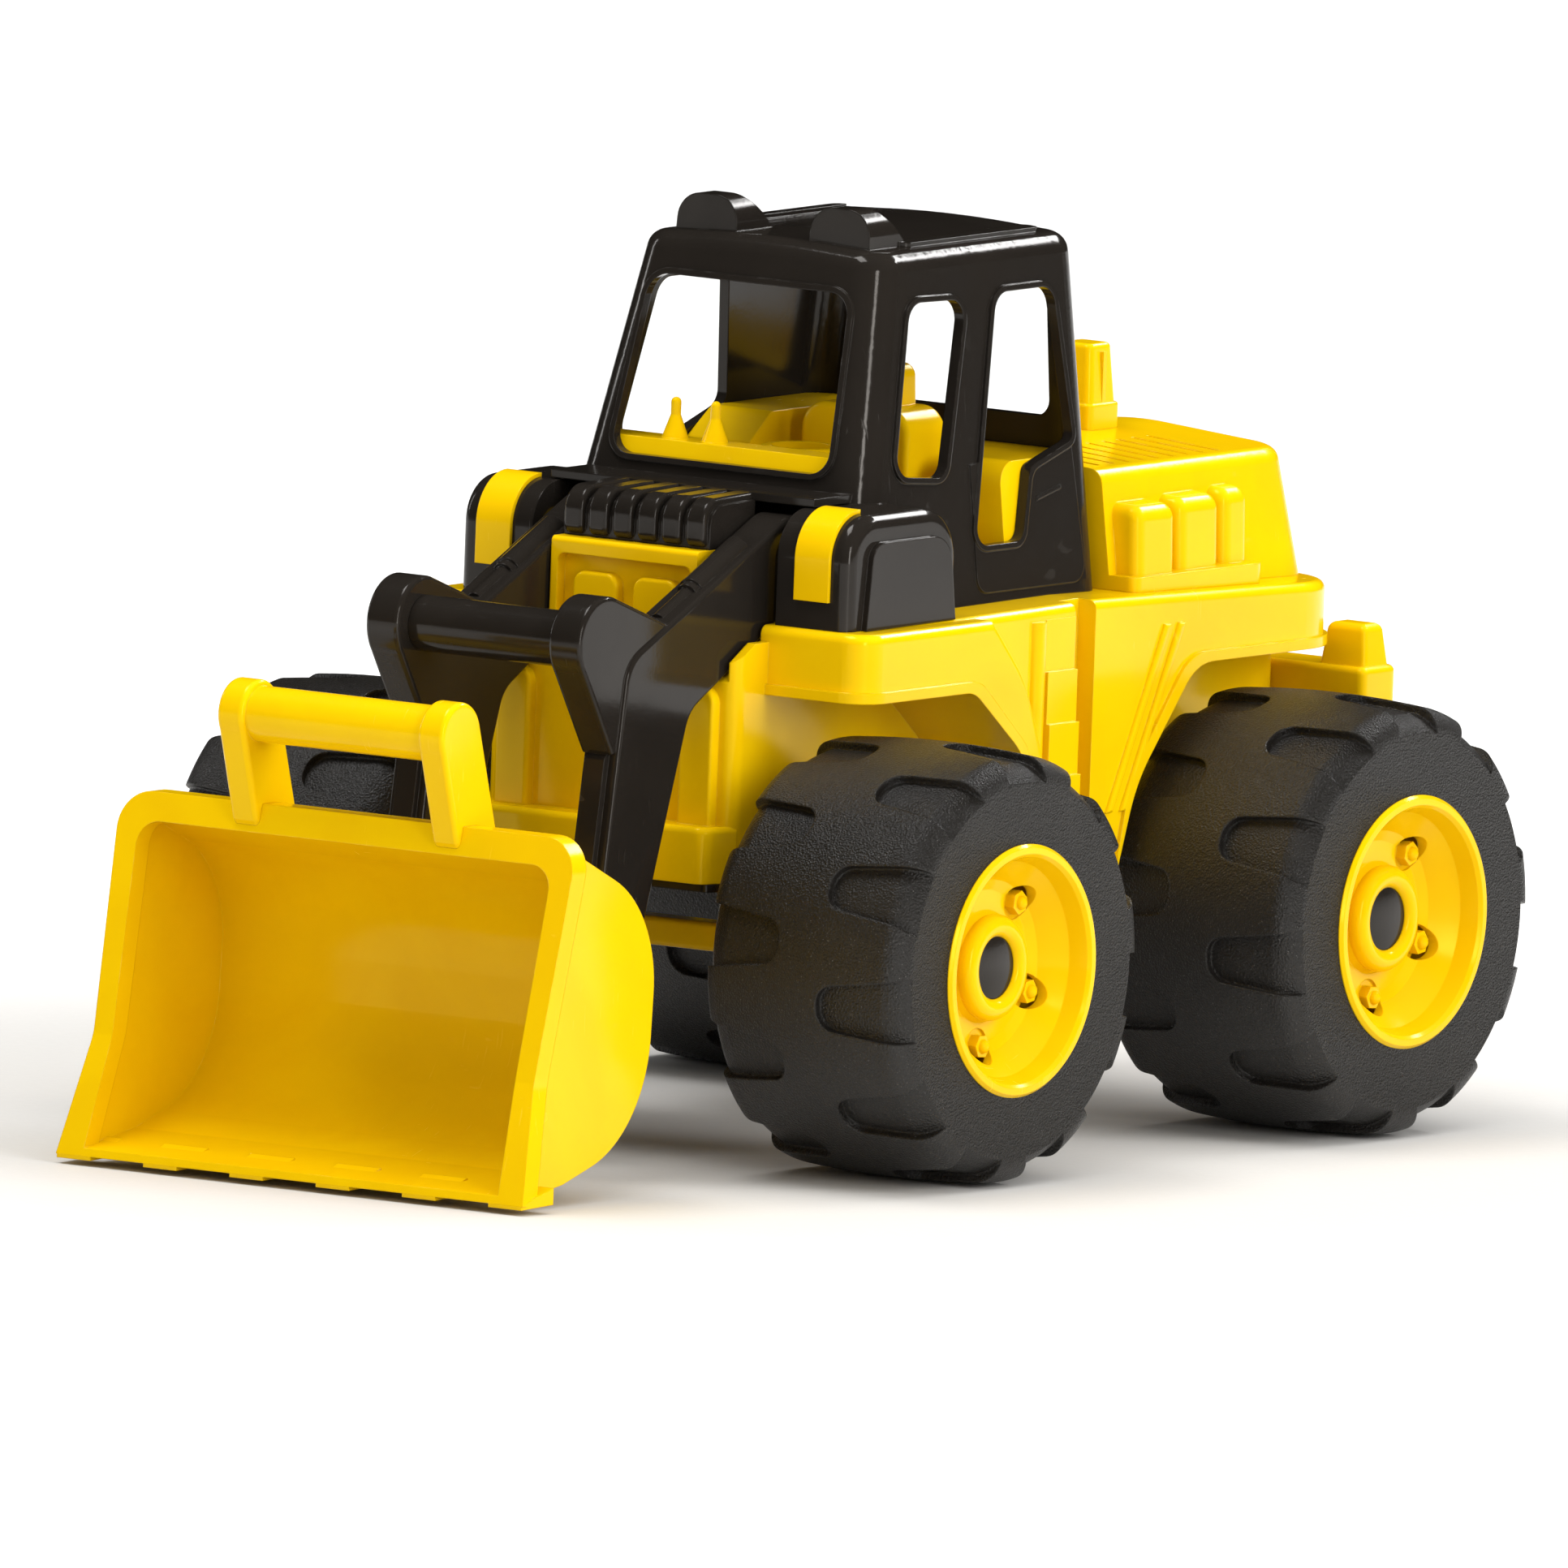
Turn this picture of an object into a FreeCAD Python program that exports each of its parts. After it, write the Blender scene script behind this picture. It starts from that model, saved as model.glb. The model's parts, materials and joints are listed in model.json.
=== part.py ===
import FreeCAD, Part
import math
import os

# Push-along toy wheel loader, all sizes in millimetres.
# Working frame of this file: X to the toy's left, Y rearwards from the front axle, Z up from the ground.
# Every piece is shifted along Y on export, so that the origin is the bounding box's bottom centre.

V = FreeCAD.Vector

# ---- overall layout -------------------------------------------------------
WHEELBASE = 251.5
AXLE_Z = 81.2
BUCKET_REACH = 226.0        # front axle to the tip of the bucket's teeth
DECK_REAR_Y = WHEELBASE + 70.5          # back of the deck over the rear wheels
BUMPER_REAR = DECK_REAR_Y + 21.0        # back of the rear bumper
WALL = 3.0                  # moulded shells
BODY_GAP = 0.4              # between faces of pieces that move past each other

# ---- wheels ---------------------------------------------------------------
TYRE_R = 81.2
TYRE_W = 90.0
TYRE_FACE_X = 168.5         # outer side face of the tyre
TYRE_CROWN_HALF = 35.5
TYRE_CROWN_DROP = 1.6
TYRE_SHOULDER_DROP = 2.8
TYRE_SHOULDER_IN = 2.8
TYRE_SIDE_R = 70.0
TYRE_WALL = 3.0
TYRE_BEAD_R = 45.1
TYRE_BEAD_W = 1.4
LUG_COUNT = 11
LUG_DEPTH = 3.2
LUG_INNER_HALF = 8.0
LUG_OUTER_HALF = 12.5
LUG_START = 9.0
RIM_R = 45.0
RIM_LIP_R = 47.2
RIM_LIP = 1.6
RIM_WALL = 2.6
RIM_LEN = 84.0
DISH_MOUTH_R = 42.4
DISH_MOUTH_DEPTH = 8.0
DISH_DEPTH = 19.0
DISH_FLOOR_R = 32.5
HUB_RING_R = 19.5
HUB_RING_DEPTH = 10.5
HUB_TUBE_R = 10.0
CAP_R = 11.6
CAP_SEAT_DEPTH = 16.5
CAP_FACE_DEPTH = 12.4
CAP_DOME = 0.8
CAP_CLEAR = 0.1
NUT_POCKET_R = 8.4
NUT_POCKET_DEPTH = 21.0
NUT_R = 7.5
NUT_T = 3.0
AXLE_R = 4.0
AXLE_RUN = 0.05             # radial running clearance of a wheel on its axle
BOLT_COUNT = 5
BOLT_CIRCLE_R = 29.5
BOLT_AF_R = 4.6
BOLT_H = 4.2
BOLT_DOME_R = 2.6
BOLT_POCKET_R = 6.6
BOLT_POCKET = 1.2
BOLT_FIRST_DEG = 50.0

# ---- chassis --------------------------------------------------------------
FENDER_X = 100.0            # half width over the front fenders
BELT_X = 92.0               # half width over the rear fenders
FENDER_FRONT_Y = -9.0
DECK_CORNER_R = 36.0
FENDER_CORNER_R = 11.0
BELT_FRONT_Z = 199.5
BELT_MID_Y = 150.0
BELT_MID_Z = 201.0
BELT_REAR_Z = 196.5
ARCH_Z = 174.0              # flat roof of the wheel arches
ARCH_FRONT_REAR_Y = 60.0    # where the front arch starts to fall
FENDER_TIP_Y = WHEELBASE - 84.0         # rear fender's lowest point
STEP_FRONT_Y = 106.0
STEP_BOTTOM_Z = 121.5
STEP_REAR_Y = FENDER_TIP_Y - 15.5
FENDER_TIP_Z = 99.0
ARCH_REAR_FRONT_Y = WHEELBASE - 37.0    # where the rear arch gets flat
ARCH_REAR_BEND = (WHEELBASE - 73.5, 131.0)
EDGE_R = 3.5
FLARE_EDGE = ((STEP_FRONT_Y + 5.0, 143.0, 0), (STEP_FRONT_Y - 9.0, 176.0, 70))
FLARE_TOP_Y = 74.0          # front fender's rear edge at the belt
LIP_H = 4.0                 # rounded lip along the wheel arches
LIP_OUT = 1.6
CORE_X = 56.0               # half width of the body between the wheels
CORE_BOTTOM_Z = 105.0
CORE_R = 6.0
NOSE_Y = -29.0
CORE_REAR_Y = DECK_REAR_Y - 2.0
NOSE_TOP_Z = 186.0
NOSE_PAD_OUT = 4.5
NOSE_PAD_IN_X = 34.0
NOSE_PAD_OUT_X = 49.0
NOSE_PAD_TOP_Z = 178.0
NOSE_PAD_R = 7.0
PAD_EDGE_R = 1.5            # front edges of the nose's and tower's pads
NOSE_BAND_OUT = 12.0
NOSE_BAND_X = 52.0
NOSE_BAND_TOP_Z = 126.0
NOSE_BAND_R = 2.5
TOWER_X = 33.0              # half width of the block that carries the grille
TOWER_FRONT_Y = -24.0
TOWER_TOP_Z = 226.0
TOWER_REAR_Y = 34.0
TOWER_RISE_Y = 6.0          # the block is higher behind this, over the boom's pin
TOWER_RISE_Z = 229.5
TOWER_RECESS = 5.0
TOWER_PAD_X = 3.5
TOWER_PAD_W = 20.0
TOWER_PAD_R = 5.0
TOWER_FRAME = 3.0           # frame round the block's recess
STEP_Y0 = STEP_FRONT_Y + 12.0
STEP_Y1 = STEP_REAR_Y - 15.0
STEP_COUNT = 4
STEP_H = 19.4
STEP_OUT = 1.5
PILLAR_R = 4.2
PILLAR_SINK = 1.2           # pillar's axis inside the deck's side
PILLAR_Y = STEP_FRONT_Y + 7.0
CHANNEL_DEPTH = 11.0        # recess behind the steps
CHANNEL_REAR = 2.0
RIB_W = 4.0
RIB_PITCH = 9.0
RIB_START = 8.0             # behind the recess, and over the fender's tip
RIB_RISE = 22.0
RIB_RUN = 34.0              # how far a rib leans back
RIB_DROP = 12.0             # under the belt
RIB_OUT = 1.6
TRAY_T = 3.0
TRAY_INSET = 2.0
POST_R = 5.0
SCREW_R = 1.6
SCREW_LEN = 14.0
SCREW_HEAD_R = 3.4
SCREW_HEAD_T = 1.6
SCREW_SLOT_W = 1.0
SCREW_SLOT_T = 0.7
SCREW_X = 42.0
SCREW_YS = (-24.0, 120.0, CORE_REAR_Y - 30.0)
BEAM_H = 10.7
BEAM_L = 13.0
BEAM_END_X = 79.6
HANGER_X0 = 40.0
HANGER_X1 = 54.0
HANGER_L = 22.0

# ---- hood, stack and bumper -----------------------------------------------
HOOD_FRONT_Y = 188.0
HOOD_REAR_Y = DECK_REAR_Y - 1.5
HOOD_TOP_REAR_Y = HOOD_REAR_Y - 8.5
HOOD_X = 72.0
HOOD_TOP_X = 65.5
HOOD_SIDE_Z = 243.5
HOOD_CROWN_Z = HOOD_SIDE_Z + 4.0
HOOD_CROWN_DROP = 1.5
HOOD_CROWN_R = 120.0
HOOD_CORNER_R = 17.0
HOOD_EDGE_R = 6.0
LOUVRE_COUNT = 9
LOUVRE_START = 8.0           # hood's front to the first louvre
LOUVRE_PITCH = 9.6
LOUVRE_X0 = 26.0
LOUVRE_X1 = 58.0
LOUVRE_W = 2.2
LOUVRE_DEPTH = 1.4
# moulded boxes on the hood's sides: (from and to behind the hood's front, half width, top below HOOD_SIDE_Z)
BUMPS = ((5.0, 30.0, 81.0, 12.5), (35.0, 61.0, 79.0, 11.5), (66.0, 82.0, 77.0, 10.5))
BUMP_ROOT = 14.0             # how far the boxes reach into the hood
BUMP_R = 6.0
LEDGE_X = 83.0
LEDGE_Z = 205.5
LEDGE_FRONT_R = 4.0
LEDGE_REAR_R = 6.0
LEDGE_REAR_Y = HOOD_REAR_Y - 48.5
STACK_Y = HOOD_REAR_Y - 51.5
STACK_BASE = 20.0
STACK_BASE_Z = HOOD_SIDE_Z + 14.5
STACK_LOW = 18.0
STACK_TOP = 14.5
STACK_TOP_Z = STACK_BASE_Z + 22.0
STACK_CORNER_R = 3.0
STACK_EDGE_R = 1.2
STACK_RIDGE = 2.0
BUMPER_X = 95.0
BUMPER_Z0 = 146.0
BUMPER_Z1 = 163.5
BUMPER_R = 5.0
BUMPER_EDGE_R = 2.5
LAMP_BLOCK_X = 82.5
LAMP_BLOCK_W = 21.0
LAMP_BLOCK_L = 16.0
LAMP_BLOCK_H = 15.5
LAMP_BLOCK_DRAFT = 2.0
LAMP_BLOCK_R = 3.5
LAMP_BLOCK_EDGE_R = 2.0

# ---- cab ------------------------------------------------------------------
CAB_FRONT_Y = 34.0
CAB_FRONT_TOP_Y = 55.5
CAB_REAR_Y = 187.0
CAB_REAR_TOP_Y = 184.5
CAB_COWL_Z = 245.5
CAB_ROOF_Z = 331.5
CAB_CROWN_Z = CAB_ROOF_Z + 2.5
CAB_CROWN_DROP = 1.2
CAB_CROWN_R = 500.0
CAB_X = 71.0                # half width at the bottom of the cab
CAB_TOP_X = 55.0
CAB_EDGE_R = 13.0
CAB_ROOF_R = 8.0
COVER_X0 = 55.5
COVER_X1 = 88.0
COVER_FRONT_Y = -4.6
COVER_REAR_Y = 66.0
COVER_TOP_Z = 242.0
COVER_NOSE_R = 17.0
COVER_TAIL_R = 20.0
COVER_EDGE_R = 5.0
COVER_PAD = 2.4
PAD_FRONT = 8.1             # raised pad on the cover's side, behind the cover's front
PAD_REAR = 3.0              # and in front of its rear
PAD_FRONT_LEAN = 4.5
PAD_REAR_LEAN = 6.0
PAD_DROP = 10.0
PAD_FRONT_R = 7.0
PAD_REAR_R = 12.0
COWL_FRONT_Y = 12.0
LAMP_X0 = 64.3
LAMP_X1 = 79.8
LAMP_T = 1.6
LAMP_BOTTOM_Z = 210.0
LAMP_TOP_Y = 13.0
GRILLE_TOP_Z = 244.5
GRILLE_FRONT_Y = -19.0
GRILLE_RIBS = 6
GRILLE_RIB_OUT = 2.6
GRILLE_RIB_SHARE = 0.76     # rib's width as a share of the pitch
GRILLE_RIB_R = 1.6
GRILLE_NOSE_R = 9.0
POD_X = 30.0
POD_W = 28.0
POD_Y = 65.0
POD_L = 24.0
POD_TOP_Z = CAB_ROOF_Z + 15.5
POD_FLAT = 9.0
POD_R = 10.0
PANEL_X = 36.0
PANEL_Y0 = 98.0
PANEL_Y1 = 176.0
PANEL_R = 6.0
GROOVE_W = 2.0
RAIL_X0 = 39.5
RAIL_X1 = 46.5
RAIL_Y0 = 80.0
RAIL_Y1 = 170.0
RAIL_H = 1.6
RAIL_SLANT = 6.0            # how far the rail's front end leans back
RAIL_R = 3.0
GROOVE = 1.2
BEAD_W = 2.2                # raised beads around the cab's windows
BEAD_H = 1.3
DOOR_RELIEF = 0.8
HANDLE_LINE_H = 1.5         # raised line of the door's handle
HANDLE_LINE_OUT = 0.6
SCREEN_LOW_X = 49.2         # half widths of the windscreen and rear window
SCREEN_TOP_X = 45.0
SCREEN_LOW_R = 8.0
SCREEN_TOP_R = 9.0
SCREEN_RISE = 6.0           # windscreen's lower edge over the cowl
SCREEN_DROP = 14.0          # windscreen's upper edge under the roof
BACK_LOW_X = 45.0
BACK_TOP_X = 42.0
BACK_WINDOW_R = 6.0
BACK_RISE = 17.0
BACK_DROP = 18.0
# outlines on the cab's sides: (behind the cab's front, over the cowl or, if negative, from the roof, radius)
QUARTER_WINDOW = ((21.0, 5.5, 7), (53.0, 3.0, 7), (73.0, -18.5, 7), (37.0, -17.5, 9))
DOOR_SILL = 23.5            # the door window's notch and the panel under it go below the cowl's height
DOOR_NOTCH = ((69.5, 6), (100.0, 6))
DOOR_WINDOW = ((107.5, 3.5, 5), (136.0, 11.5, 4), (129.0, -17.5, 8), (92.5, -17.5, 9))
FAR_WINDOW = ((23.0, 6.5, 7), (62.0, 6.5, 10), (91.0, 16.5, 6), (81.0, -18.5, 7), (37.0, -18.5, 8))
PANEL_DEPTH = 41.0
DOOR_PANEL_LOW = ((70.0, 6), (139.5, 7))
DOOR_PANEL_HIGH = ((134.5, 16.5, 0), (70.0, 6.5, 0))
HANDLE_LINE = ((110.8, 9.2), (126.0, 6.0))              # ends, measured under the cowl's height
FLOOR_Z = 214.0
DASH_Z = 257.5
DASH_REAR_Y = 58.0
SHELF_Z = 251.0
SHELF_Y = 156.0
SHELF_FRONT_Y = 128.0       # front of the left console
TRAY_GAP = 0.3
TRAY_R = 4.0
SEAT_W = 50.0
SEAT_Y = 109.0
SEAT_TOP_Z = 232.0
BACK_Y = 121.0
BACK_TOP_Z = 267.0
BACK_T = 26.0
HEAD_W = 22.0
HEAD_Y = 133.0
HEAD_TOP_Z = 282.0
SEAT_CUSHION_R = 4.0
SEAT_BACK_R = 10.0
SEAT_HEAD_R = 5.0
SEAT_EDGE_R = 2.5
HEAD_EDGE_R = 2.0
PLATE_X = 34.0              # half width of the raised plate behind the dash
PLATE_Y0 = 70.0
PLATE_Y1 = 106.0
PLATE_Z = 250.0
PLATE_FRONT_R = 10.0
PLATE_REAR_R = 6.0
RING_Y = 88.0
RING_R = 15.5
RING_T = 4.5
RING_W = 4.0
RING_EDGE_R = 1.5
SIDE_BOX_X0 = 33.0          # consoles beside the seat
SIDE_BOX_TOP_Z = 262.0      # the right console is the higher one
SIDE_BOX_Y = 101.0
SIDE_BOX_RUN = 14.0         # length of the right console's sloping front
SIDE_BOX_R = 6.0
SHELF_FRONT_R = 9.0
LEVER_Y = 49.0
LEVER_R = 1.9
LEVER_CONE_R = 5.2
LEVER_XS = (-30.0, -12.0)
LEVER_H = 15.0
LEVER_CONE_SHARE = 0.6

# ---- boom -----------------------------------------------------------------
BOOM_PIVOT = (14.0, 222.5)
BOOM_END_R = 16.0
ARM_X0 = 34.0
ARM_X1 = 50.0
ARM_TOP_DEG = 25.5          # slope of the upper arm's top
ARM_UNDER_DEG = 29.0        # slope of the upper arm's underside
ARM_BEND = (-90.0, 191.5)   # front of the elbow
ARM_BEND_R = 16.0
ARM_ELBOW = (-49.0, 169.5)  # rear of the elbow
ARM_ELBOW_R = 14.0
ARM_KNEE = (-103.5, 98.0)
ARM_KNEE_R = 14.0
ARM_HEEL = (-79.5, 75.0)
ARM_HEEL_R = 12.0
ARM_FOOT_DEGS = (38.0, 162.0)           # where the arm's edges leave the round lower end
ARM_EDGE_R = 1.8
BOSS = (-103.0, 199.0)
BOSS_R = 17.5
BOSS_X1 = 48.6
BOSS_DEGS = (-22.0, 118.0)  # where the boss's web leaves the round boss
WEB_LOW_Z = 157.0
WEB_KNEE = 7.0
WEB_UNDER = (14.0, -21.5)   # web's corners inside the arm, from the arm's bend
WEB_TOP = (30.0, 11.0)
CROSSBAR_R = 10.5
BUCKET_PIVOT = (-112.0, 72.0)
BUCKET_PIVOT_R = 13.0
PIN_R = 3.5
PIN_RUN = 0.05
EAR_R = 9.0
CYL_R = 5.4
ROD_R = 3.4
CYL_X = 41.5
CYL_START = 20.0
CYL_LEN = 32.0
ROD_LEN = 20.0
COLLAR_LEN = 4.0
COLLAR_STEP = 0.8
CYL_SINK = 1.5
SLOT_CLEAR = 0.8
SLOT_OUTER_CLEAR = 2.2
SLOT_REACH_Y = -70.0
ARM_RIB_OUT = 3.0
ARM_RIB_W = 9.0
ARM_RIB_SINK = 5.0
ARM_RIB_LOW_Z = 104.0
ARM_RIB_LEAN = 7.5
ARM_RIB_DEPTH = 16.0
ARM_RIB_R = 2.5

# ---- bucket ---------------------------------------------------------------
BUCKET_X = 98.0
BUCKET_WALL = 3.2
RIM_TOP = (-194.0, 134.0)
RIM_KINK = (-211.0, 48.0)
LIP_TIP = (-224.0, 3.6)
FLOOR_BEND_R = 12.0
BACK_HIGH = (-134.0, 107.0)
BACK_HIGH_R = 46.0
BACK_LOW = (-138.0, 24.0)
BACK_LOW_R = 50.0
FLOOR_FRONT = (-190.0, 8.5)
MOUTH_X = 94.0              # half width of the mouth's inner edge
MOUTH_KINK_X = 91.0
MOUTH_TOP_X = 93.5
MOUTH_TOP_Z = 127.0
MOUTH_CORNER_R = 9.0
MOUTH_KINK_R = 60.0
FLANGE_KINK_R = 40.0
FLANGE_OUT = 2.0            # flange's face in front of the bucket's rim
FLANGE_TOP_Z = 137.8
FLANGE_TOP_X = 103.5
FLANGE_KINK_X = 99.5
FLANGE_LOW_X = 106.0
FLANGE_T = 7.0
FLANGE_CORNER_R = 14.0
TOOTH_COUNT = 6
TOOTH_PITCH = 39.0
TOOTH_W = 20.0
TOOTH_TIP_W = 15.0
TOOTH_LEN = 17.0
TOOTH_Z0 = 2.2
TOOTH_T = 5.0
TOOTH_TIP_T = 1.6
TOOTH_RISE = 2.5            # how much higher a tooth's top is at its root
TOOTH_ROOT_Z = 1.2
LUG_T = 4.0
LUG_R = 11.5
LUG_ROOT_OUT = (8.0, 12.0)  # how much wider a lug's root is above and below
LUG_SINK = 4.0              # lug's root inside the bucket's back
HANDLE_X0 = 39.5
HANDLE_X1 = 51.2
HANDLE_BAR = (-198.0, 171.5)
HANDLE_BAR_R = 10.5
HANDLE_END_R = 12.7
HANDLE_DEGS = (96.0, -74.0) # where a leg's edges leave its round end
HANDLE_EDGE_R = 2.0
HANDLE_FOOT_STEP = 18.0
HANDLE_FOOT_FRONT = (-198.5, 131.5)
HANDLE_FOOT_REAR = (-166.0, 114.0)

ORIGIN_Y = (BUMPER_REAR - BUCKET_REACH) / 2.0


# ---- small helpers --------------------------------------------------------
def export(shape, node):
    placed = shape.copy()
    placed.translate(V(0, -ORIGIN_Y, 0))
    placed.exportStep("parts/" + node + ".step")


def box(x0, x1, y0, y1, z0, z1):
    return Part.makeBox(x1 - x0, y1 - y0, z1 - z0, V(x0, y0, z0))


def rounded_wire(corners):
    """Closed wire through corners (point, radius); a radius rounds its corner with a tangent arc."""
    count = len(corners)
    spans = []
    for i in range(count):
        point, radius = corners[i]
        before = corners[i - 1][0]
        after = corners[(i + 1) % count][0]
        to_before = (before - point).normalize()
        to_after = (after - point).normalize()
        if radius <= 0:
            spans.append((point, None, point))
            continue
        half = to_before.getAngle(to_after) / 2.0
        reach = radius / math.tan(half)
        middle = (to_before + to_after).normalize()
        centre = point + middle * (radius / math.sin(half))
        spans.append((point + to_before * reach, centre - middle * radius, point + to_after * reach))
    edges = []
    for i in range(count):
        start, mid, end = spans[i]
        if mid is not None:
            edges.append(Part.Arc(start, mid, end).toShape())
        following = spans[(i + 1) % count][0]
        if (following - end).Length > 1e-6:
            edges.append(Part.makeLine(end, following))
    return Part.Wire(edges)


def prism(corners, direction):
    return Part.Face(rounded_wire(corners)).extrude(direction)


def side_prism(points, x0, x1):
    """Prism along X from (y, z, corner radius) points."""
    corners = [(V(x0, p[0], p[1]), p[2] if len(p) > 2 else 0) for p in points]
    return prism(corners, V(x1 - x0, 0, 0))


def plan_prism(points, z0, z1):
    """Prism along Z from (x, y, corner radius) points."""
    corners = [(V(p[0], p[1], z0), p[2] if len(p) > 2 else 0) for p in points]
    return prism(corners, V(0, 0, z1 - z0))


def frame_plan(half, y0, y1, corner):
    """Corners of a rectangle in plan, the same on both sides of the toy's middle, with rounded corners."""
    return [(-half, y0, corner), (half, y0, corner), (half, y1, corner), (-half, y1, corner)]


def front_prism(points, y0, y1):
    """Prism along Y from (x, z, corner radius) points."""
    corners = [(V(p[0], y0, p[1]), p[2] if len(p) > 2 else 0) for p in points]
    return prism(corners, V(0, y1 - y0, 0))


def inset_outline(points, distances):
    """Outline moved inwards, edge i (from point i on) by distances[i]; radii shrink with the edges."""
    count = len(points)
    area = sum(points[i][0] * points[(i + 1) % count][1] - points[(i + 1) % count][0] * points[i][1]
               for i in range(count))
    turn = 1.0 if area > 0 else -1.0
    lines = []
    for i in range(count):
        a = points[i]
        b = points[(i + 1) % count]
        length = math.hypot(b[0] - a[0], b[1] - a[1])
        d = ((b[0] - a[0]) / length, (b[1] - a[1]) / length)
        inward = (-d[1] * turn * distances[i], d[0] * turn * distances[i])
        lines.append(((a[0] + inward[0], a[1] + inward[1]), d))
    moved = []
    for i in range(count):
        (p, d) = lines[i - 1]
        (q, e) = lines[i]
        cross = d[0] * e[1] - d[1] * e[0]
        t = ((q[0] - p[0]) * e[1] - (q[1] - p[1]) * e[0]) / cross
        radius = points[i][2] if len(points[i]) > 2 else 0
        shrink = (distances[i - 1] + distances[i]) / 2.0
        moved.append((p[0] + d[0] * t, p[1] + d[1] * t, max(radius - shrink, 0) if radius else 0))
    return moved


def grown(outline, distance):
    """Outline moved outwards by distance on every side."""
    return inset_outline(outline, [-distance] * len(outline))


def rod(centre, radius, x0, x1):
    """Round bar along X at the (y, z) centre."""
    return Part.makeCylinder(radius, x1 - x0, V(x0, centre[0], centre[1]), V(1, 0, 0))


def mirrored(shape):
    return shape.mirror(V(0, 0, 0), V(1, 0, 0))


def both_sides(shape):
    return [shape, mirrored(shape)]


def rounded(shape, radius, wanted):
    """Shape with the edges that wanted(edge) picks rounded."""
    edges = [edge for edge in shape.Edges if wanted(edge)]
    return shape.makeFillet(radius, edges)


def fuse(shapes):
    return shapes[0].fuse(shapes[1:]).removeSplitter()


def revolved_x(edges):
    """Solid of revolution about the X axis of a closed outline in the XZ plane."""
    return Part.Face(Part.Wire(edges)).revolve(V(0, 0, 0), V(1, 0, 0), 360)


# ---- wheels ---------------------------------------------------------------
def tyre_profile(drop, bead_r):
    """Outer outline of the tyre section from bead to bead, sunk by drop at the tread."""
    half = TYRE_W / 2.0
    crown = TYRE_R - drop
    edge = crown - TYRE_CROWN_DROP
    shoulder_x = half - TYRE_SHOULDER_IN - 0.7 * drop
    shoulder_r = edge - TYRE_SHOULDER_DROP + 0.3 * drop
    right = Part.Arc(V(TYRE_CROWN_HALF, 0, edge), V(shoulder_x, 0, shoulder_r), V(half, 0, TYRE_SIDE_R))
    left = Part.Arc(V(-half, 0, TYRE_SIDE_R), V(-shoulder_x, 0, shoulder_r), V(-TYRE_CROWN_HALF, 0, edge))
    top = Part.Arc(V(-TYRE_CROWN_HALF, 0, edge), V(0, 0, crown), V(TYRE_CROWN_HALF, 0, edge))
    down = Part.makeLine(V(half, 0, TYRE_SIDE_R), V(half, 0, bead_r))
    up = Part.makeLine(V(-half, 0, bead_r), V(-half, 0, TYRE_SIDE_R))
    return [up, left.toShape(), top.toShape(), right.toShape(), down]


def tyre_inner_profile():
    """Inner outline of the tyre wall, from the right bead back to the left bead."""
    half = TYRE_W / 2.0 - TYRE_WALL
    crown = TYRE_R - TYRE_WALL - LUG_DEPTH
    edge = crown - TYRE_CROWN_DROP
    shoulder_x = half - TYRE_SHOULDER_IN
    shoulder_r = edge - TYRE_SHOULDER_DROP + LUG_DEPTH / 2.0
    bead = TYRE_BEAD_R + TYRE_BEAD_W
    right = Part.Arc(V(half, 0, TYRE_SIDE_R - 1), V(shoulder_x, 0, shoulder_r), V(TYRE_CROWN_HALF, 0, edge))
    top = Part.Arc(V(TYRE_CROWN_HALF, 0, edge), V(0, 0, crown), V(-TYRE_CROWN_HALF, 0, edge))
    left = Part.Arc(V(-TYRE_CROWN_HALF, 0, edge), V(-shoulder_x, 0, shoulder_r), V(-half, 0, TYRE_SIDE_R - 1))
    return [Part.makeLine(V(half, 0, bead), V(half, 0, TYRE_SIDE_R - 1)), right.toShape(), top.toShape(),
            left.toShape(), Part.makeLine(V(-half, 0, TYRE_SIDE_R - 1), V(-half, 0, bead))]


def lug_pocket():
    """U-shaped pocket of the tread at the top of the tyre, open to the right side face."""
    end = TYRE_W / 2.0 + 2.0
    corners = [(V(LUG_START, LUG_INNER_HALF, 0), LUG_INNER_HALF * 0.95),
               (V(LUG_START, -LUG_INNER_HALF, 0), LUG_INNER_HALF * 0.95),
               (V(end, -LUG_OUTER_HALF, 0), 0),
               (V(end, LUG_OUTER_HALF, 0), 0)]
    return prism(corners, V(0, 0, TYRE_R + 5))


def make_tyre():
    """Tyre about the X axis with its middle plane at x = 0."""
    half = TYRE_W / 2.0
    inner = half - TYRE_WALL
    bead_top = TYRE_BEAD_R + TYRE_BEAD_W
    right_bead = [Part.makeLine(V(half, 0, TYRE_BEAD_R), V(inner, 0, TYRE_BEAD_R)),
                  Part.makeLine(V(inner, 0, TYRE_BEAD_R), V(inner, 0, bead_top))]
    left_bead = [Part.makeLine(V(-inner, 0, bead_top), V(-inner, 0, TYRE_BEAD_R)),
                 Part.makeLine(V(-inner, 0, TYRE_BEAD_R), V(-half, 0, TYRE_BEAD_R))]
    body = revolved_x(tyre_profile(0.0, TYRE_BEAD_R) + right_bead + tyre_inner_profile() + left_bead)
    floor_edges = tyre_profile(LUG_DEPTH, 0.0)
    floor = revolved_x(floor_edges + [Part.makeLine(V(half, 0, 0), V(-half, 0, 0))])
    pocket = lug_pocket().cut(floor)
    pitch = 360.0 / LUG_COUNT
    cutters = []
    for i in range(LUG_COUNT):
        right = pocket.copy()
        right.rotate(V(0, 0, 0), V(1, 0, 0), i * pitch)
        left = mirrored(pocket)
        left.rotate(V(0, 0, 0), V(1, 0, 0), (i + 0.5) * pitch)
        cutters += [right, left]
    return body.cut(cutters)


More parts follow.
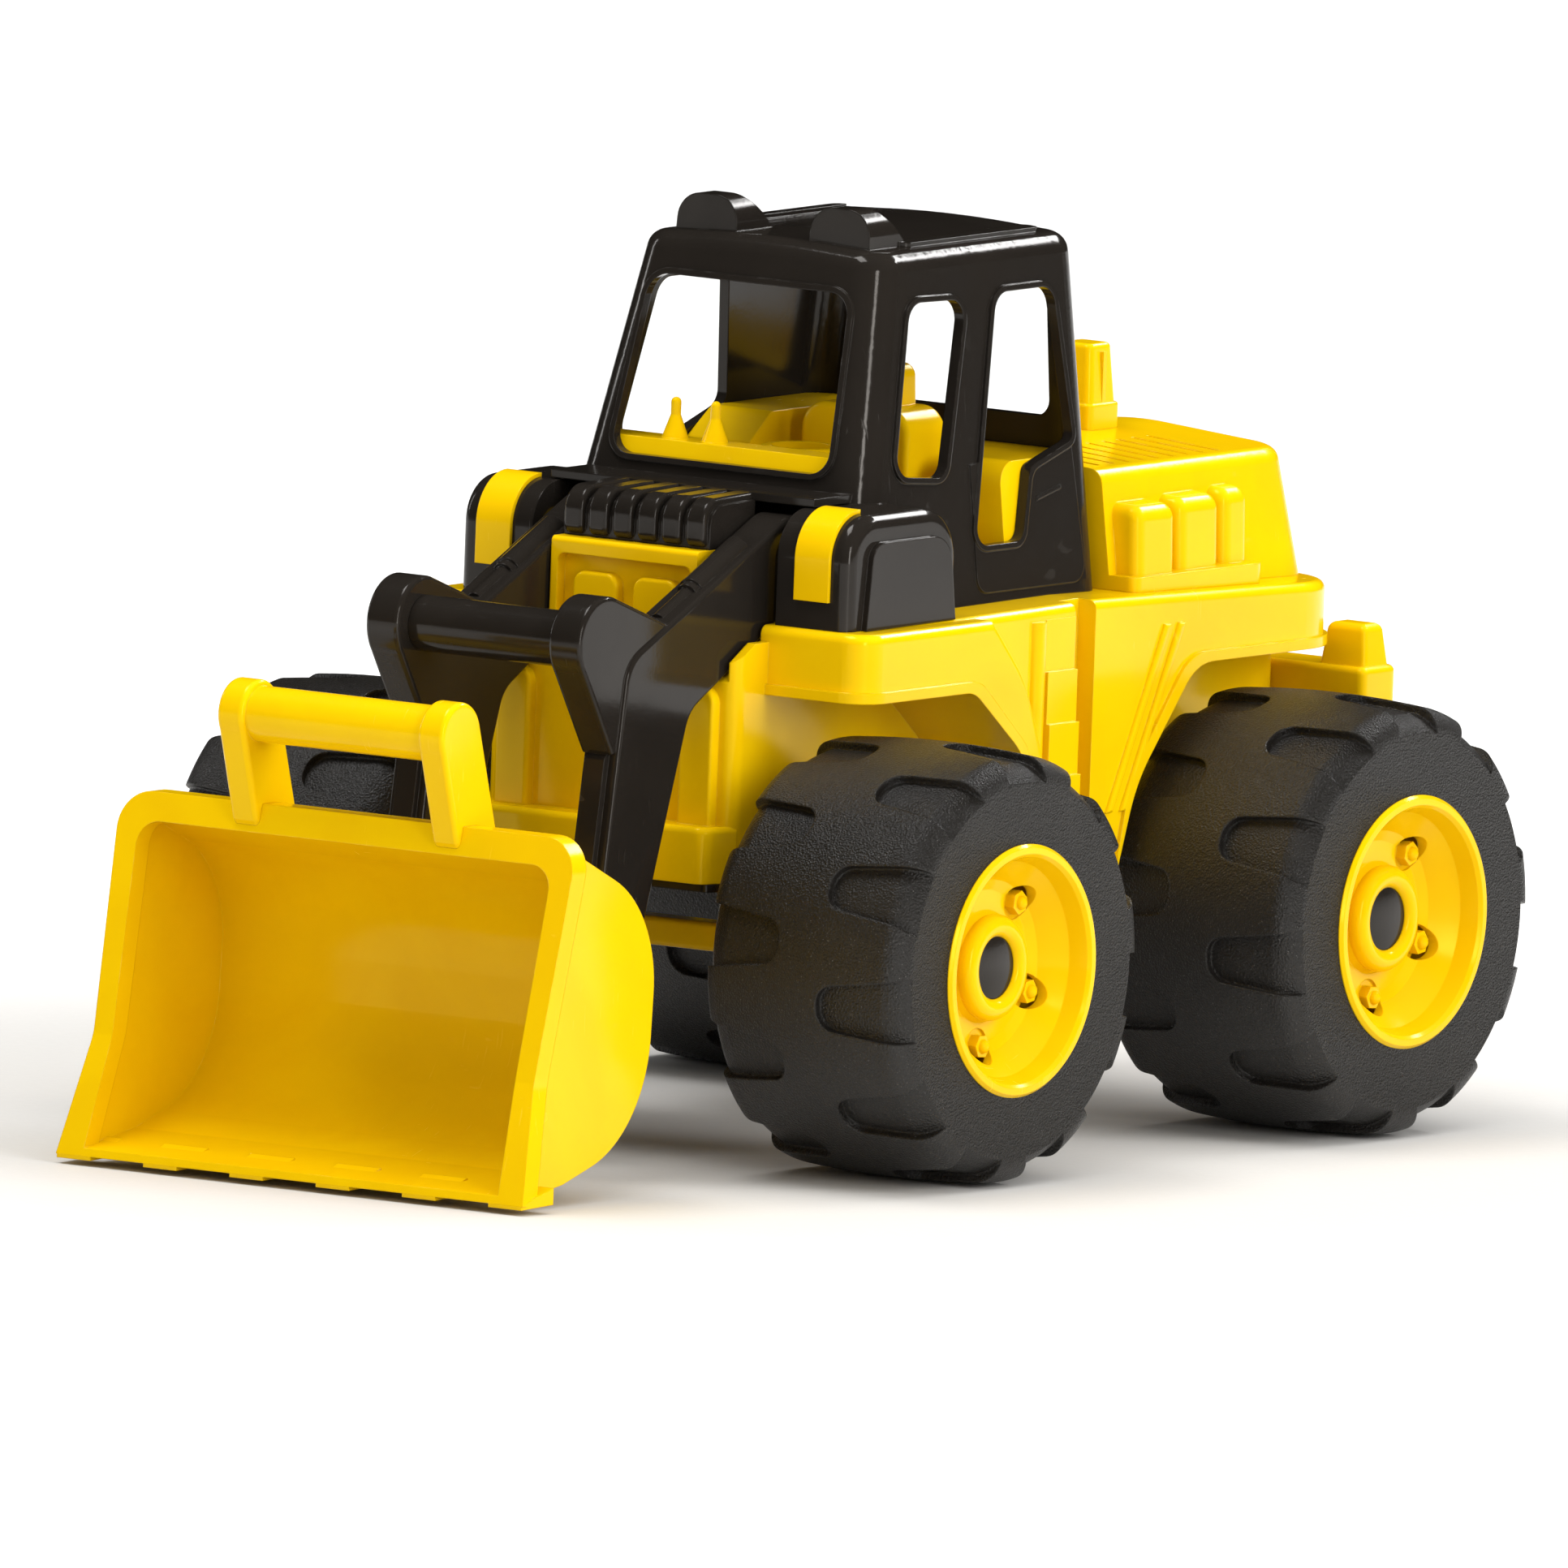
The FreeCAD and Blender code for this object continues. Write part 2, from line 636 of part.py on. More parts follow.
def rim_point(depth, radius):
    """Point of the rim's section; depth runs inboard from the lip's face."""
    return V(-depth, 0, radius)


def make_rim():
    """Rim about the X axis with the lip's face at x = 0 and the hub running inboard (-X)."""
    bore = AXLE_R + AXLE_RUN
    seat = CAP_R + CAP_CLEAR
    hub_len = TYRE_FACE_X + RIM_LIP - BEAM_END_X - BODY_GAP
    back = DISH_DEPTH + RIM_WALL
    barrel_in = RIM_R - RIM_WALL
    ring = Part.Arc(rim_point(DISH_DEPTH - 2.5, HUB_RING_R),
                    rim_point(HUB_RING_DEPTH, (HUB_RING_R + seat) / 2.0 + 0.8),
                    rim_point(HUB_RING_DEPTH + 2.4, seat)).toShape()
    before = [rim_point(0, RIM_LIP_R - 1.2), rim_point(0, DISH_MOUTH_R + 1.2), rim_point(1.4, DISH_MOUTH_R),
              rim_point(DISH_MOUTH_DEPTH, DISH_MOUTH_R - 2.2), rim_point(DISH_DEPTH - 2.0, DISH_FLOOR_R),
              rim_point(DISH_DEPTH, DISH_FLOOR_R - 4.0), rim_point(DISH_DEPTH, HUB_RING_R + 1.5),
              rim_point(DISH_DEPTH - 2.5, HUB_RING_R)]
    after = [rim_point(HUB_RING_DEPTH + 2.4, seat), rim_point(CAP_SEAT_DEPTH, seat),
             rim_point(CAP_SEAT_DEPTH, NUT_POCKET_R), rim_point(NUT_POCKET_DEPTH, NUT_POCKET_R),
             rim_point(NUT_POCKET_DEPTH, bore), rim_point(hub_len, bore), rim_point(hub_len, HUB_TUBE_R),
             rim_point(NUT_POCKET_DEPTH + RIM_WALL, HUB_TUBE_R + 1.0), rim_point(back, HUB_RING_R),
             rim_point(back, DISH_FLOOR_R - 3.0), rim_point(DISH_MOUTH_DEPTH + 6.0, barrel_in - 0.8),
             rim_point(DISH_MOUTH_DEPTH + 8.0, barrel_in), rim_point(RIM_LEN, barrel_in),
             rim_point(RIM_LEN, RIM_R), rim_point(RIM_LIP, RIM_R), rim_point(RIM_LIP, RIM_LIP_R),
             rim_point(1.2, RIM_LIP_R), rim_point(0, RIM_LIP_R - 1.2)]
    lines = [Part.makeLine(before[i], before[i + 1]) for i in range(len(before) - 1)]
    rest = [Part.makeLine(after[i], after[i + 1]) for i in range(len(after) - 1)]
    rim = revolved_x(lines + [ring] + rest)
    pocket = Part.makeCylinder(BOLT_POCKET_R, DISH_DEPTH, rim_point(DISH_DEPTH + BOLT_POCKET, BOLT_CIRCLE_R),
                               V(1, 0, 0))
    hexagon = [rim_point(DISH_DEPTH + BOLT_POCKET + 0.5, BOLT_CIRCLE_R)
               + V(0, BOLT_AF_R * math.cos(math.radians(60 * k)), BOLT_AF_R * math.sin(math.radians(60 * k)))
               for k in range(6)]
    nut = prism([(p, 0) for p in hexagon], V(BOLT_H + 0.5, 0, 0))
    dome = Part.makeSphere(BOLT_DOME_R, rim_point(DISH_DEPTH + BOLT_POCKET - BOLT_H, BOLT_CIRCLE_R))
    bolt = nut.fuse(dome)
    pockets = []
    bolts = []
    for i in range(BOLT_COUNT):
        angle = BOLT_FIRST_DEG + i * 360.0 / BOLT_COUNT - 90.0
        for source, group in ((pocket, pockets), (bolt, bolts)):
            placed = source.copy()
            placed.rotate(V(0, 0, 0), V(1, 0, 0), angle)
            group.append(placed)
    return fuse([rim.cut(pockets)] + bolts)


def make_cap():
    """Domed hub cap about the X axis, with x measured like the rim's section."""
    body = Part.makeCylinder(CAP_R, CAP_SEAT_DEPTH - CAP_FACE_DEPTH, rim_point(CAP_SEAT_DEPTH, 0), V(1, 0, 0))
    radius = (CAP_R ** 2 + CAP_DOME ** 2) / (2.0 * CAP_DOME)
    return body.common(Part.makeSphere(radius, rim_point(CAP_FACE_DEPTH + radius, 0)))


def place_wheel(shape, side, axle_y, x):
    """Wheel piece, modelled on the X axis for the left side, moved to its corner of the toy."""
    placed = shape.copy()
    placed.translate(V(x, 0, 0))
    if side < 0:
        placed = mirrored(placed)
    placed.translate(V(0, axle_y, AXLE_Z))
    return placed


def axle_beam(axle_y):
    """Moulded axle housing with two hangers that meet the floor tray."""
    half = BEAM_H / 2.0
    bar = side_prism([(axle_y - BEAM_L / 2, AXLE_Z - half, 2.0), (axle_y + BEAM_L / 2, AXLE_Z - half, 2.0),
                      (axle_y + BEAM_L / 2, AXLE_Z + half, 2.0), (axle_y - BEAM_L / 2, AXLE_Z + half, 2.0)],
                     -BEAM_END_X, BEAM_END_X)
    tray_bottom = CORE_BOTTOM_Z - TRAY_T
    hangers = []
    for shape in both_sides(box(HANGER_X0, HANGER_X1, axle_y - HANGER_L / 2, axle_y + HANGER_L / 2,
                                AXLE_Z - half, tray_bottom)):
        hangers.append(rounded(shape, 2.0, lambda e: abs(e.tangentAt(e.FirstParameter).z) > 0.9))
    body = fuse([bar] + hangers)
    return body.cut(rod((axle_y, AXLE_Z), AXLE_R, -BEAM_END_X - 1, BEAM_END_X + 1))


def axle_rod(axle_y):
    end = TYRE_FACE_X + RIM_LIP - CAP_SEAT_DEPTH - 0.6
    return rod((axle_y, AXLE_Z), AXLE_R, -end, end)


def axle_nuts(axle_y):
    """Two push-on retaining nuts, one at each end of an axle."""
    start = TYRE_FACE_X + RIM_LIP - NUT_POCKET_DEPTH + BODY_GAP
    ring = rod((axle_y, AXLE_Z), NUT_R, start, start + NUT_T)
    ring = ring.cut(rod((axle_y, AXLE_Z), AXLE_R, start - 1, start + NUT_T + 1))
    return Part.makeCompound(both_sides(ring))


# ---- chassis --------------------------------------------------------------
def belt_line(inset):
    """(y, z) points of the deck's top line from front to rear, lowered by inset."""
    return [(FENDER_FRONT_Y + inset, BELT_FRONT_Z - inset), (BELT_MID_Y, BELT_MID_Z - inset),
            (DECK_REAR_Y - inset, BELT_REAR_Z - inset)]


def front_arch(inset):
    """Edge of the front wheel arch from the fender's front back to the steps, moved up by inset."""
    return [(FENDER_FRONT_Y + inset, ARCH_Z + inset, 0), (ARCH_FRONT_REAR_Y + inset, ARCH_Z + inset, 14),
            (ARCH_FRONT_REAR_Y + 31 + inset, ARCH_Z - 24 + inset / 2, 22),
            (STEP_FRONT_Y + inset, STEP_BOTTOM_Z + inset, 0)]


def rear_arch(inset):
    """Edge of the rear wheel arch from the fender's tip back to the deck's end, moved up by inset."""
    return [(FENDER_TIP_Y, FENDER_TIP_Z + 1.4 * inset, 0),
            (ARCH_REAR_BEND[0] - inset, ARCH_REAR_BEND[1] + inset / 2, 60),
            (ARCH_REAR_FRONT_Y - inset, ARCH_Z + inset - 1, 22), (DECK_REAR_Y - inset, ARCH_Z + inset - 1, 0)]


def body_side(inset):
    """Side outline of the fenders, steps and deck, drawn inwards by inset."""
    top = belt_line(inset)
    steps = [(STEP_REAR_Y + inset / 2, STEP_BOTTOM_Z + inset, 0),
             (FENDER_TIP_Y - 4 + inset / 2, FENDER_TIP_Z + 1.4 * inset, 0)]
    return [top[0]] + front_arch(inset) + steps + rear_arch(inset) + [top[2], top[1]]


def body_plan(half, front, rear, corner, tail):
    """Plan outline of the deck or its fenders, as a prism over the whole height of the fenders."""
    points = [(-half, front, corner), (half, front, corner), (half, rear, tail), (-half, rear, tail)]
    return plan_prism(points, FENDER_TIP_Z - 1, BELT_MID_Z + 1)


def deck_plan(inset):
    return body_plan(BELT_X - inset, FENDER_FRONT_Y + inset, DECK_REAR_Y - inset, FENDER_CORNER_R - inset,
                     DECK_CORNER_R - inset)


def flare_plan(inset):
    return body_plan(FENDER_X - inset, FENDER_FRONT_Y + inset, STEP_Y0, FENDER_CORNER_R - inset, 0)


def front_flare(inset):
    """Wide part of the left front fender, in front of a rear edge that follows the wheel arch."""
    low, high = FLARE_EDGE
    outline = front_arch(inset) + [(low[0] - inset, low[1], 0), (high[0] - inset, high[1], high[2]),
                                   (FLARE_TOP_Y - inset, belt_line(inset)[0][1], 0), belt_line(inset)[0]]
    return side_prism(outline, BELT_X - EDGE_R - 8, FENDER_X).common(flare_plan(inset))


def arch_lips():
    """Rounded lips that run along the left wheel arches."""
    lips = []
    front_low = front_arch(0)
    front_high = front_arch(LIP_H)
    rear_low = rear_arch(0)
    rear_high = rear_arch(LIP_H)
    front = FENDER_FRONT_Y - LIP_OUT
    rear = DECK_REAR_Y + LIP_OUT
    front_end = [(front, front_high[0][1], 0), (front, front_low[0][1], 0)]
    front_strip = front_low[1:] + front_high[:0:-1] + front_end
    rear_end = [(rear, rear_low[-1][1], 0), (rear, rear_high[-1][1], 0)]
    rear_strip = rear_low[:-1] + rear_end + rear_high[-2::-1]
    wide = body_plan(FENDER_X + LIP_OUT, front, STEP_Y0, FENDER_CORNER_R + LIP_OUT, 0)
    slim = body_plan(BELT_X + LIP_OUT, front, rear, 0, DECK_CORNER_R + LIP_OUT)
    for strip, plan in ((front_strip, wide), (rear_strip, slim)):
        lips.append(side_prism(strip, CORE_X, FENDER_X + LIP_OUT + 1).common(plan))
    return lips


def make_upper_body():
    outer = side_prism(body_side(0), -FENDER_X - 1, FENDER_X + 1)
    deck = outer.common(deck_plan(0))

    def on_rim(edge):
        bounds = edge.BoundBox
        if bounds.ZMin < BELT_REAR_Z - 1:
            return False
        return bounds.YLength > 0.5 or bounds.YMax < 0 or bounds.YMin > DECK_REAR_Y - 1

    def on_flare(edge):
        bounds = edge.BoundBox
        if bounds.ZMin > BELT_FRONT_Z - 1:
            return bounds.XMin > FENDER_X - FENDER_CORNER_R - 1 and bounds.YMin < FLARE_TOP_Y - 1
        outside = bounds.XMin > FENDER_X - 0.1
        return outside and bounds.YMin > FLARE_TOP_Y - 1 and bounds.ZMax > FLARE_EDGE[0][1] + 1
    flare = rounded(front_flare(0), EDGE_R, on_flare)
    return fuse([rounded(deck, EDGE_R, on_rim)] + both_sides(flare))


def make_core():
    """Block between the wheels: nose, engine bay walls and the band under the nose."""
    core = plan_prism(frame_plan(CORE_X, NOSE_Y, CORE_REAR_Y, CORE_R), CORE_BOTTOM_Z, BELT_REAR_Z - WALL)
    ahead = NOSE_Y - 1
    slope = side_prism([(ahead, NOSE_TOP_Z), (FENDER_FRONT_Y + 2, BELT_FRONT_Z), (ahead, BELT_FRONT_Z)],
                       -CORE_X - 1, CORE_X + 1)
    front = NOSE_Y - NOSE_BAND_OUT
    band = plan_prism([(-NOSE_BAND_X, front, CORE_R), (NOSE_BAND_X, front, CORE_R), (CORE_X, NOSE_Y + 4, 0),
                       (-CORE_X, NOSE_Y + 4, 0)], CORE_BOTTOM_Z, NOSE_BAND_TOP_Z)
    band = rounded(band, NOSE_BAND_R, lambda e: e.BoundBox.ZMin > NOSE_BAND_TOP_Z - 0.1
                   and e.BoundBox.YMax < NOSE_Y + 3)
    low = NOSE_BAND_TOP_Z - 2
    top = NOSE_PAD_TOP_Z
    face = NOSE_Y - NOSE_PAD_OUT
    pad = front_prism([(NOSE_PAD_IN_X, low, 0), (NOSE_PAD_OUT_X, low, 0), (NOSE_PAD_OUT_X, top, NOSE_PAD_R),
                       (NOSE_PAD_IN_X, top, NOSE_PAD_R)], face, NOSE_Y + 1)
    pad = rounded(pad, PAD_EDGE_R, lambda e: e.BoundBox.YMax < face + 0.1 and e.BoundBox.ZMax > low + 1)
    return fuse([core.cut(slope), band] + both_sides(pad))


def make_tower():
    """Block under the grille, with a recess and two pads on its front."""
    foot = NOSE_TOP_Z - 16
    front = TOWER_FRONT_Y
    step = TOWER_RISE_Y
    tower = side_prism([(front, foot, 0), (front, TOWER_TOP_Z, 2), (step, TOWER_TOP_Z, 0),
                        (step, TOWER_RISE_Z, 0), (TOWER_REAR_Y, TOWER_RISE_Z, 0), (TOWER_REAR_Y, foot, 0)],
                       -TOWER_X, TOWER_X)
    frame_x = TOWER_X - TOWER_FRAME
    low = NOSE_TOP_Z - 10
    high = TOWER_TOP_Z - 2 * TOWER_FRAME
    recess = front_prism([(-frame_x, low, 3), (frame_x, low, 3), (frame_x, high, 3), (-frame_x, high, 3)],
                         front - 1, front + TOWER_RECESS)
    x0 = TOWER_PAD_X
    x1 = TOWER_PAD_X + TOWER_PAD_W
    top = TOWER_TOP_Z - 4 * TOWER_FRAME
    pad = front_prism([(x0, low, 0), (x1, low, 0), (x1, top, TOWER_PAD_R), (x0, top, TOWER_PAD_R)],
                      front + 0.5, front + TOWER_RECESS + 1)
    pad = rounded(pad, PAD_EDGE_R, lambda e: e.BoundBox.YMax < front + 0.6 and e.BoundBox.ZMax > low + 1)
    return fuse([tower.cut(recess)] + both_sides(pad))


def arm_slot(x0, x1, keep):
    """Free space within keep of a boom arm's upper end, from its rest to its highest position."""
    y, z = BOOM_PIVOT
    fall = math.tan(math.radians(ARM_UNDER_DEG)) * (y - SLOT_REACH_Y)
    low = z - keep / math.cos(math.radians(ARM_UNDER_DEG))
    swing = rod(BOOM_PIVOT, keep, x0, x1)
    path = side_prism([(y, low), (y, z), (y + keep, z), (y + keep, z + 60), (SLOT_REACH_Y, z + 60),
                       (SLOT_REACH_Y, low - fall)], x0, x1)
    return fuse([swing, path])


def make_side_details():
    """Steps, pillar and fender ribs of the left side."""
    details = []
    for i in range(STEP_COUNT):
        top = BELT_MID_Z - 5 - i * STEP_H
        out = BELT_X + STEP_OUT * (i + 0.2)
        details.append(box(BELT_X - 2, out, STEP_Y0, STEP_Y1, top - STEP_H - 0.4, top))
    pillar_h = BELT_FRONT_Z - 4 - STEP_BOTTOM_Z
    details.append(Part.makeCylinder(PILLAR_R, pillar_h, V(BELT_X - PILLAR_SINK, PILLAR_Y, STEP_BOTTOM_Z)))
    for i in range(2):
        low_y = STEP_REAR_Y + RIB_START + i * RIB_PITCH
        high_y = low_y + RIB_RUN
        low_z = FENDER_TIP_Z + RIB_RISE
        high_z = BELT_MID_Z - RIB_DROP
        rib = side_prism([(low_y, low_z), (low_y + RIB_W, low_z), (high_y + RIB_W, high_z), (high_y, high_z)],
                         BELT_X - 1, BELT_X + RIB_OUT)
        details.append(rounded(rib, RIB_OUT * 0.8, lambda e: e.BoundBox.XMin > BELT_X + RIB_OUT - 0.1))
    return details


def channel(inset):
    """Recess behind the steps of the left side, made larger by inset."""
    return box(BELT_X - CHANNEL_DEPTH + WALL - inset, FENDER_X + 5, STEP_Y1 - inset,
               STEP_REAR_Y - CHANNEL_REAR + inset, STEP_BOTTOM_Z - 30, BELT_MID_Z + 5)


def make_cavity():
    """Hollow of the chassis: inside the deck and fenders, between the wheels and in the tower."""
    deck = side_prism(body_side(WALL), -FENDER_X, FENDER_X)
    deck = deck.common(deck_plan(WALL).fuse(both_sides(front_flare(WALL))))
    deck = deck.cut(both_sides(channel(WALL)))
    x = CORE_X - WALL
    front = NOSE_Y + WALL
    rear = CORE_REAR_Y - WALL
    r = CORE_R - WALL
    core = plan_prism(frame_plan(x, front, rear, r), CORE_BOTTOM_Z - 1, NOSE_TOP_Z - WALL - 5)
    tower = box(-TOWER_X + WALL, TOWER_X - WALL, TOWER_FRONT_Y + TOWER_RECESS + WALL, TOWER_REAR_Y - WALL,
                NOSE_TOP_Z - WALL - 8, TOWER_TOP_Z - WALL)
    return fuse([deck, core, tower])


def make_chassis():
    details = make_side_details() + arch_lips()
    tray_room = box(-CORE_X, CORE_X, NOSE_Y - 60, BUMPER_REAR, FENDER_TIP_Z - 5, CORE_BOTTOM_Z)
    outer = fuse([make_upper_body(), make_core(), make_tower()])
    outer = fuse([outer] + details + [mirrored(detail) for detail in details])
    outer = outer.cut(both_sides(channel(0)) + [tray_room])
    inner_x = ARM_X0 - SLOT_CLEAR
    outer_x = ARM_X1 + SLOT_OUTER_CLEAR
    room = BOOM_END_R + SLOT_CLEAR
    slots = both_sides(arm_slot(inner_x, outer_x, room))
    slot_walls = both_sides(arm_slot(inner_x - WALL, outer_x + WALL, room + WALL))
    posts = []
    holes = []
    for x in (-SCREW_X, SCREW_X):
        for y in SCREW_YS:
            post = Part.makeCylinder(POST_R, BELT_MID_Z - CORE_BOTTOM_Z, V(x, y, CORE_BOTTOM_Z))
            posts.append(post.common(outer))
            holes.append(Part.makeCylinder(SCREW_R, SCREW_LEN, V(x, y, CORE_BOTTOM_Z - 1)))
    ear = fuse([rod(BOOM_PIVOT, EAR_R, outer_x, outer_x + WALL),
                box(outer_x, outer_x + WALL, BOOM_PIVOT[0] - EAR_R, BOOM_PIVOT[0] + EAR_R, BELT_FRONT_Z - 2,
                    BOOM_PIVOT[1])])
    shell = outer.cut(make_cavity().cut(slot_walls))
    shell = fuse([shell] + posts + both_sides(ear))
    return shell.cut(slots + holes + [rod(BOOM_PIVOT, PIN_R, -outer_x - WALL - 1, outer_x + WALL + 1)])


def under_deck():
    """Everything below the deck's top line, used to seat pieces on the deck."""
    front = FENDER_FRONT_Y - 60
    rear = BUMPER_REAR + 20
    return side_prism([(front, CORE_BOTTOM_Z), (front, BELT_FRONT_Z), (FENDER_FRONT_Y, BELT_FRONT_Z),
                       (BELT_MID_Y, BELT_MID_Z), (DECK_REAR_Y, BELT_REAR_Z), (rear, BELT_REAR_Z),
                       (rear, CORE_BOTTOM_Z)], -FENDER_X - 20, FENDER_X + 20)


def make_floor_tray():
    tray = plan_prism(frame_plan(CORE_X - TRAY_INSET, NOSE_Y - NOSE_BAND_OUT + TRAY_INSET,
                                 CORE_REAR_Y - TRAY_INSET, CORE_R - TRAY_INSET),
                      CORE_BOTTOM_Z - TRAY_T, CORE_BOTTOM_Z)
    holes = [Part.makeCylinder(SCREW_R, TRAY_T + 2, V(x, y, CORE_BOTTOM_Z - TRAY_T - 1))
             for x in (-SCREW_X, SCREW_X) for y in SCREW_YS]
    return tray.cut(holes)


def make_tray_screws():
    screws = []
    under = CORE_BOTTOM_Z - TRAY_T
    half_slot = SCREW_SLOT_W / 2.0
    for x in (-SCREW_X, SCREW_X):
        for y in SCREW_YS:
            head = Part.makeCylinder(SCREW_HEAD_R, SCREW_HEAD_T, V(x, y, under - SCREW_HEAD_T))
            shank = Part.makeCylinder(SCREW_R, SCREW_LEN, V(x, y, under - 0.5))
            slot = box(x - SCREW_HEAD_R, x + SCREW_HEAD_R, y - half_slot, y + half_slot,
                       under - SCREW_HEAD_T - 1, under - SCREW_HEAD_T + SCREW_SLOT_T)
            screws.append(head.fuse(shank).cut(slot))
    return Part.makeCompound(screws)


# ---- hood, stack and bumper -----------------------------------------------
def tapered(low_plan, z0, high_plan, z1):
    """Solid between two plan outlines with the same corners at two heights."""
    wires = []
    for plan, z in ((low_plan, z0), (high_plan, z1)):
        wires.append(rounded_wire([(V(x, y, z), r) for x, y, r in plan]))
    return Part.makeLoft(wires, True, True)


def hood_body(grow):
    """Plain tapered hood, larger than its real skin by grow on every side."""
    low = BELT_REAR_Z - 8
    high = HOOD_CROWN_Z + 8
    slope = (HOOD_REAR_Y - HOOD_TOP_REAR_Y) / (HOOD_CROWN_Z - BELT_REAR_Z)
    side_lean = (HOOD_X - HOOD_TOP_X) / (HOOD_SIDE_Z - BELT_REAR_Z)
    front = HOOD_FRONT_Y - grow
    plans = []
    for z in (low, high):
        x = HOOD_X + grow - side_lean * (z - BELT_REAR_Z)
        rear = HOOD_REAR_Y + grow - slope * (z - BELT_REAR_Z)
        r = HOOD_CORNER_R + grow
        plans.append([(-x, front, 0), (x, front, 0), (x, rear, r), (-x, rear, r)])
    body = tapered(plans[0], low, plans[1], high)
    side_z = HOOD_SIDE_Z - HOOD_CROWN_DROP + grow
    crown_x = HOOD_X + 20
    crown = front_prism([(-crown_x, low - 5), (crown_x, low - 5), (crown_x, side_z),
                         (0, HOOD_CROWN_Z + HOOD_CROWN_DROP + grow, HOOD_CROWN_R), (-crown_x, side_z)],
                        front - 1, HOOD_REAR_Y + 20)
    body = body.common(crown)
    if grow < 0:
        return body
    return rounded(body, HOOD_EDGE_R, lambda e: e.BoundBox.ZMin > HOOD_SIDE_Z - 12
                   and e.BoundBox.YMax > HOOD_FRONT_Y + 1
                   and not (e.BoundBox.YLength > 60 and abs(e.CenterOfMass.x) < 50))


def hood_bump(start, end, x, drop):
    low = BELT_REAR_Z - 8
    top = HOOD_SIDE_Z - drop
    root = HOOD_TOP_X - BUMP_ROOT
    bump = front_prism([(root, low, 0), (x, low, 0), (x - 1.5, top, BUMP_R), (root, top + 2, 0)],
                       HOOD_FRONT_Y + start, HOOD_FRONT_Y + end)
    return rounded(bump, BUMP_R - 1.5, lambda e: e.BoundBox.XMin > x - 8 and e.BoundBox.YLength < 0.01)


def make_hood():
    root = LEDGE_X - 20
    ledge = plan_prism([(root, HOOD_FRONT_Y, 0), (LEDGE_X, HOOD_FRONT_Y, LEDGE_FRONT_R),
                        (LEDGE_X, LEDGE_REAR_Y, LEDGE_REAR_R), (root, LEDGE_REAR_Y, 0)],
                       BELT_REAR_Z - 8, LEDGE_Z)
    side_pieces = [ledge] + [hood_bump(*bump) for bump in BUMPS]
    outer = fuse([hood_body(0)] + side_pieces + [mirrored(piece) for piece in side_pieces])
    louvres = []
    for i in range(LOUVRE_COUNT):
        y = HOOD_FRONT_Y + LOUVRE_START + i * LOUVRE_PITCH
        louvres += both_sides(box(LOUVRE_X0, LOUVRE_X1, y, y + LOUVRE_W, HOOD_SIDE_Z - 8, HOOD_CROWN_Z + 5))
    grooves = Part.makeCompound(louvres).cut(hood_body(-LOUVRE_DEPTH))
    return outer.cut([grooves, hood_body(-WALL), under_deck()])


def square_plan(half, corner):
    """Corners of the exhaust stack's square section."""
    return [(x, y + STACK_Y, r) for x, y, r in frame_plan(half, -half, half, corner)]


def make_stack():
    base = plan_prism(square_plan(STACK_BASE / 2.0, STACK_CORNER_R), HOOD_SIDE_Z, STACK_BASE_Z)
    base = rounded(base, STACK_EDGE_R, lambda e: e.BoundBox.ZMin > STACK_BASE_Z - 0.1)
    low = STACK_LOW / 2.0
    pipe = tapered(square_plan(low, STACK_CORNER_R), STACK_BASE_Z - 1,
                   square_plan(STACK_TOP / 2.0, STACK_CORNER_R), STACK_TOP_Z)
    pipe = rounded(pipe, STACK_CORNER_R - 1, lambda e: e.BoundBox.ZMin > STACK_TOP_Z - 1)
    half = STACK_RIDGE / 2.0
    ridge = side_prism([(STACK_Y - half, STACK_BASE_Z - 0.5), (STACK_Y + half, STACK_BASE_Z - 0.5),
                        (STACK_Y + half, STACK_TOP_Z - 3), (STACK_Y - half, STACK_TOP_Z - 3)], -low, low)
    return fuse([base, pipe, ridge]).cut(hood_body(0))


def make_bumper():
    beam = plan_prism([(-BUMPER_X, CORE_REAR_Y, BUMPER_R - 2), (BUMPER_X, CORE_REAR_Y, BUMPER_R - 2),
                       (BUMPER_X, BUMPER_REAR, BUMPER_R), (-BUMPER_X, BUMPER_REAR, BUMPER_R)],
                      BUMPER_Z0, BUMPER_Z1)
    beam = rounded(beam, BUMPER_EDGE_R, lambda e: e.BoundBox.ZMin > BUMPER_Z1 - 0.1)
    cavity = box(-BUMPER_X + WALL, BUMPER_X - WALL, CORE_REAR_Y + WALL, BUMPER_REAR - WALL, BUMPER_Z0 - 1,
                 BUMPER_Z1 - WALL)
    half = LAMP_BLOCK_W / 2.0
    x0 = LAMP_BLOCK_X - half
    x1 = LAMP_BLOCK_X + half
    y0 = (CORE_REAR_Y + BUMPER_REAR - LAMP_BLOCK_L) / 2.0
    y1 = y0 + LAMP_BLOCK_L
    foot = BUMPER_Z1 - 1
    top = BUMPER_Z1 + LAMP_BLOCK_H
    d = LAMP_BLOCK_DRAFT
    r = LAMP_BLOCK_R
    block = front_prism([(x0, foot), (x1, foot), (x1 - d, top, r), (x0 + d, top, r)], y0, y1)
    block = block.common(side_prism([(y0, foot), (y1, foot), (y1 - d, top, r), (y0 + d, top, r)], x0, x1))
    block = rounded(block, LAMP_BLOCK_EDGE_R, lambda e: e.BoundBox.ZLength > LAMP_BLOCK_H / 2.0)
    return fuse([beam.cut(cavity)] + both_sides(block))


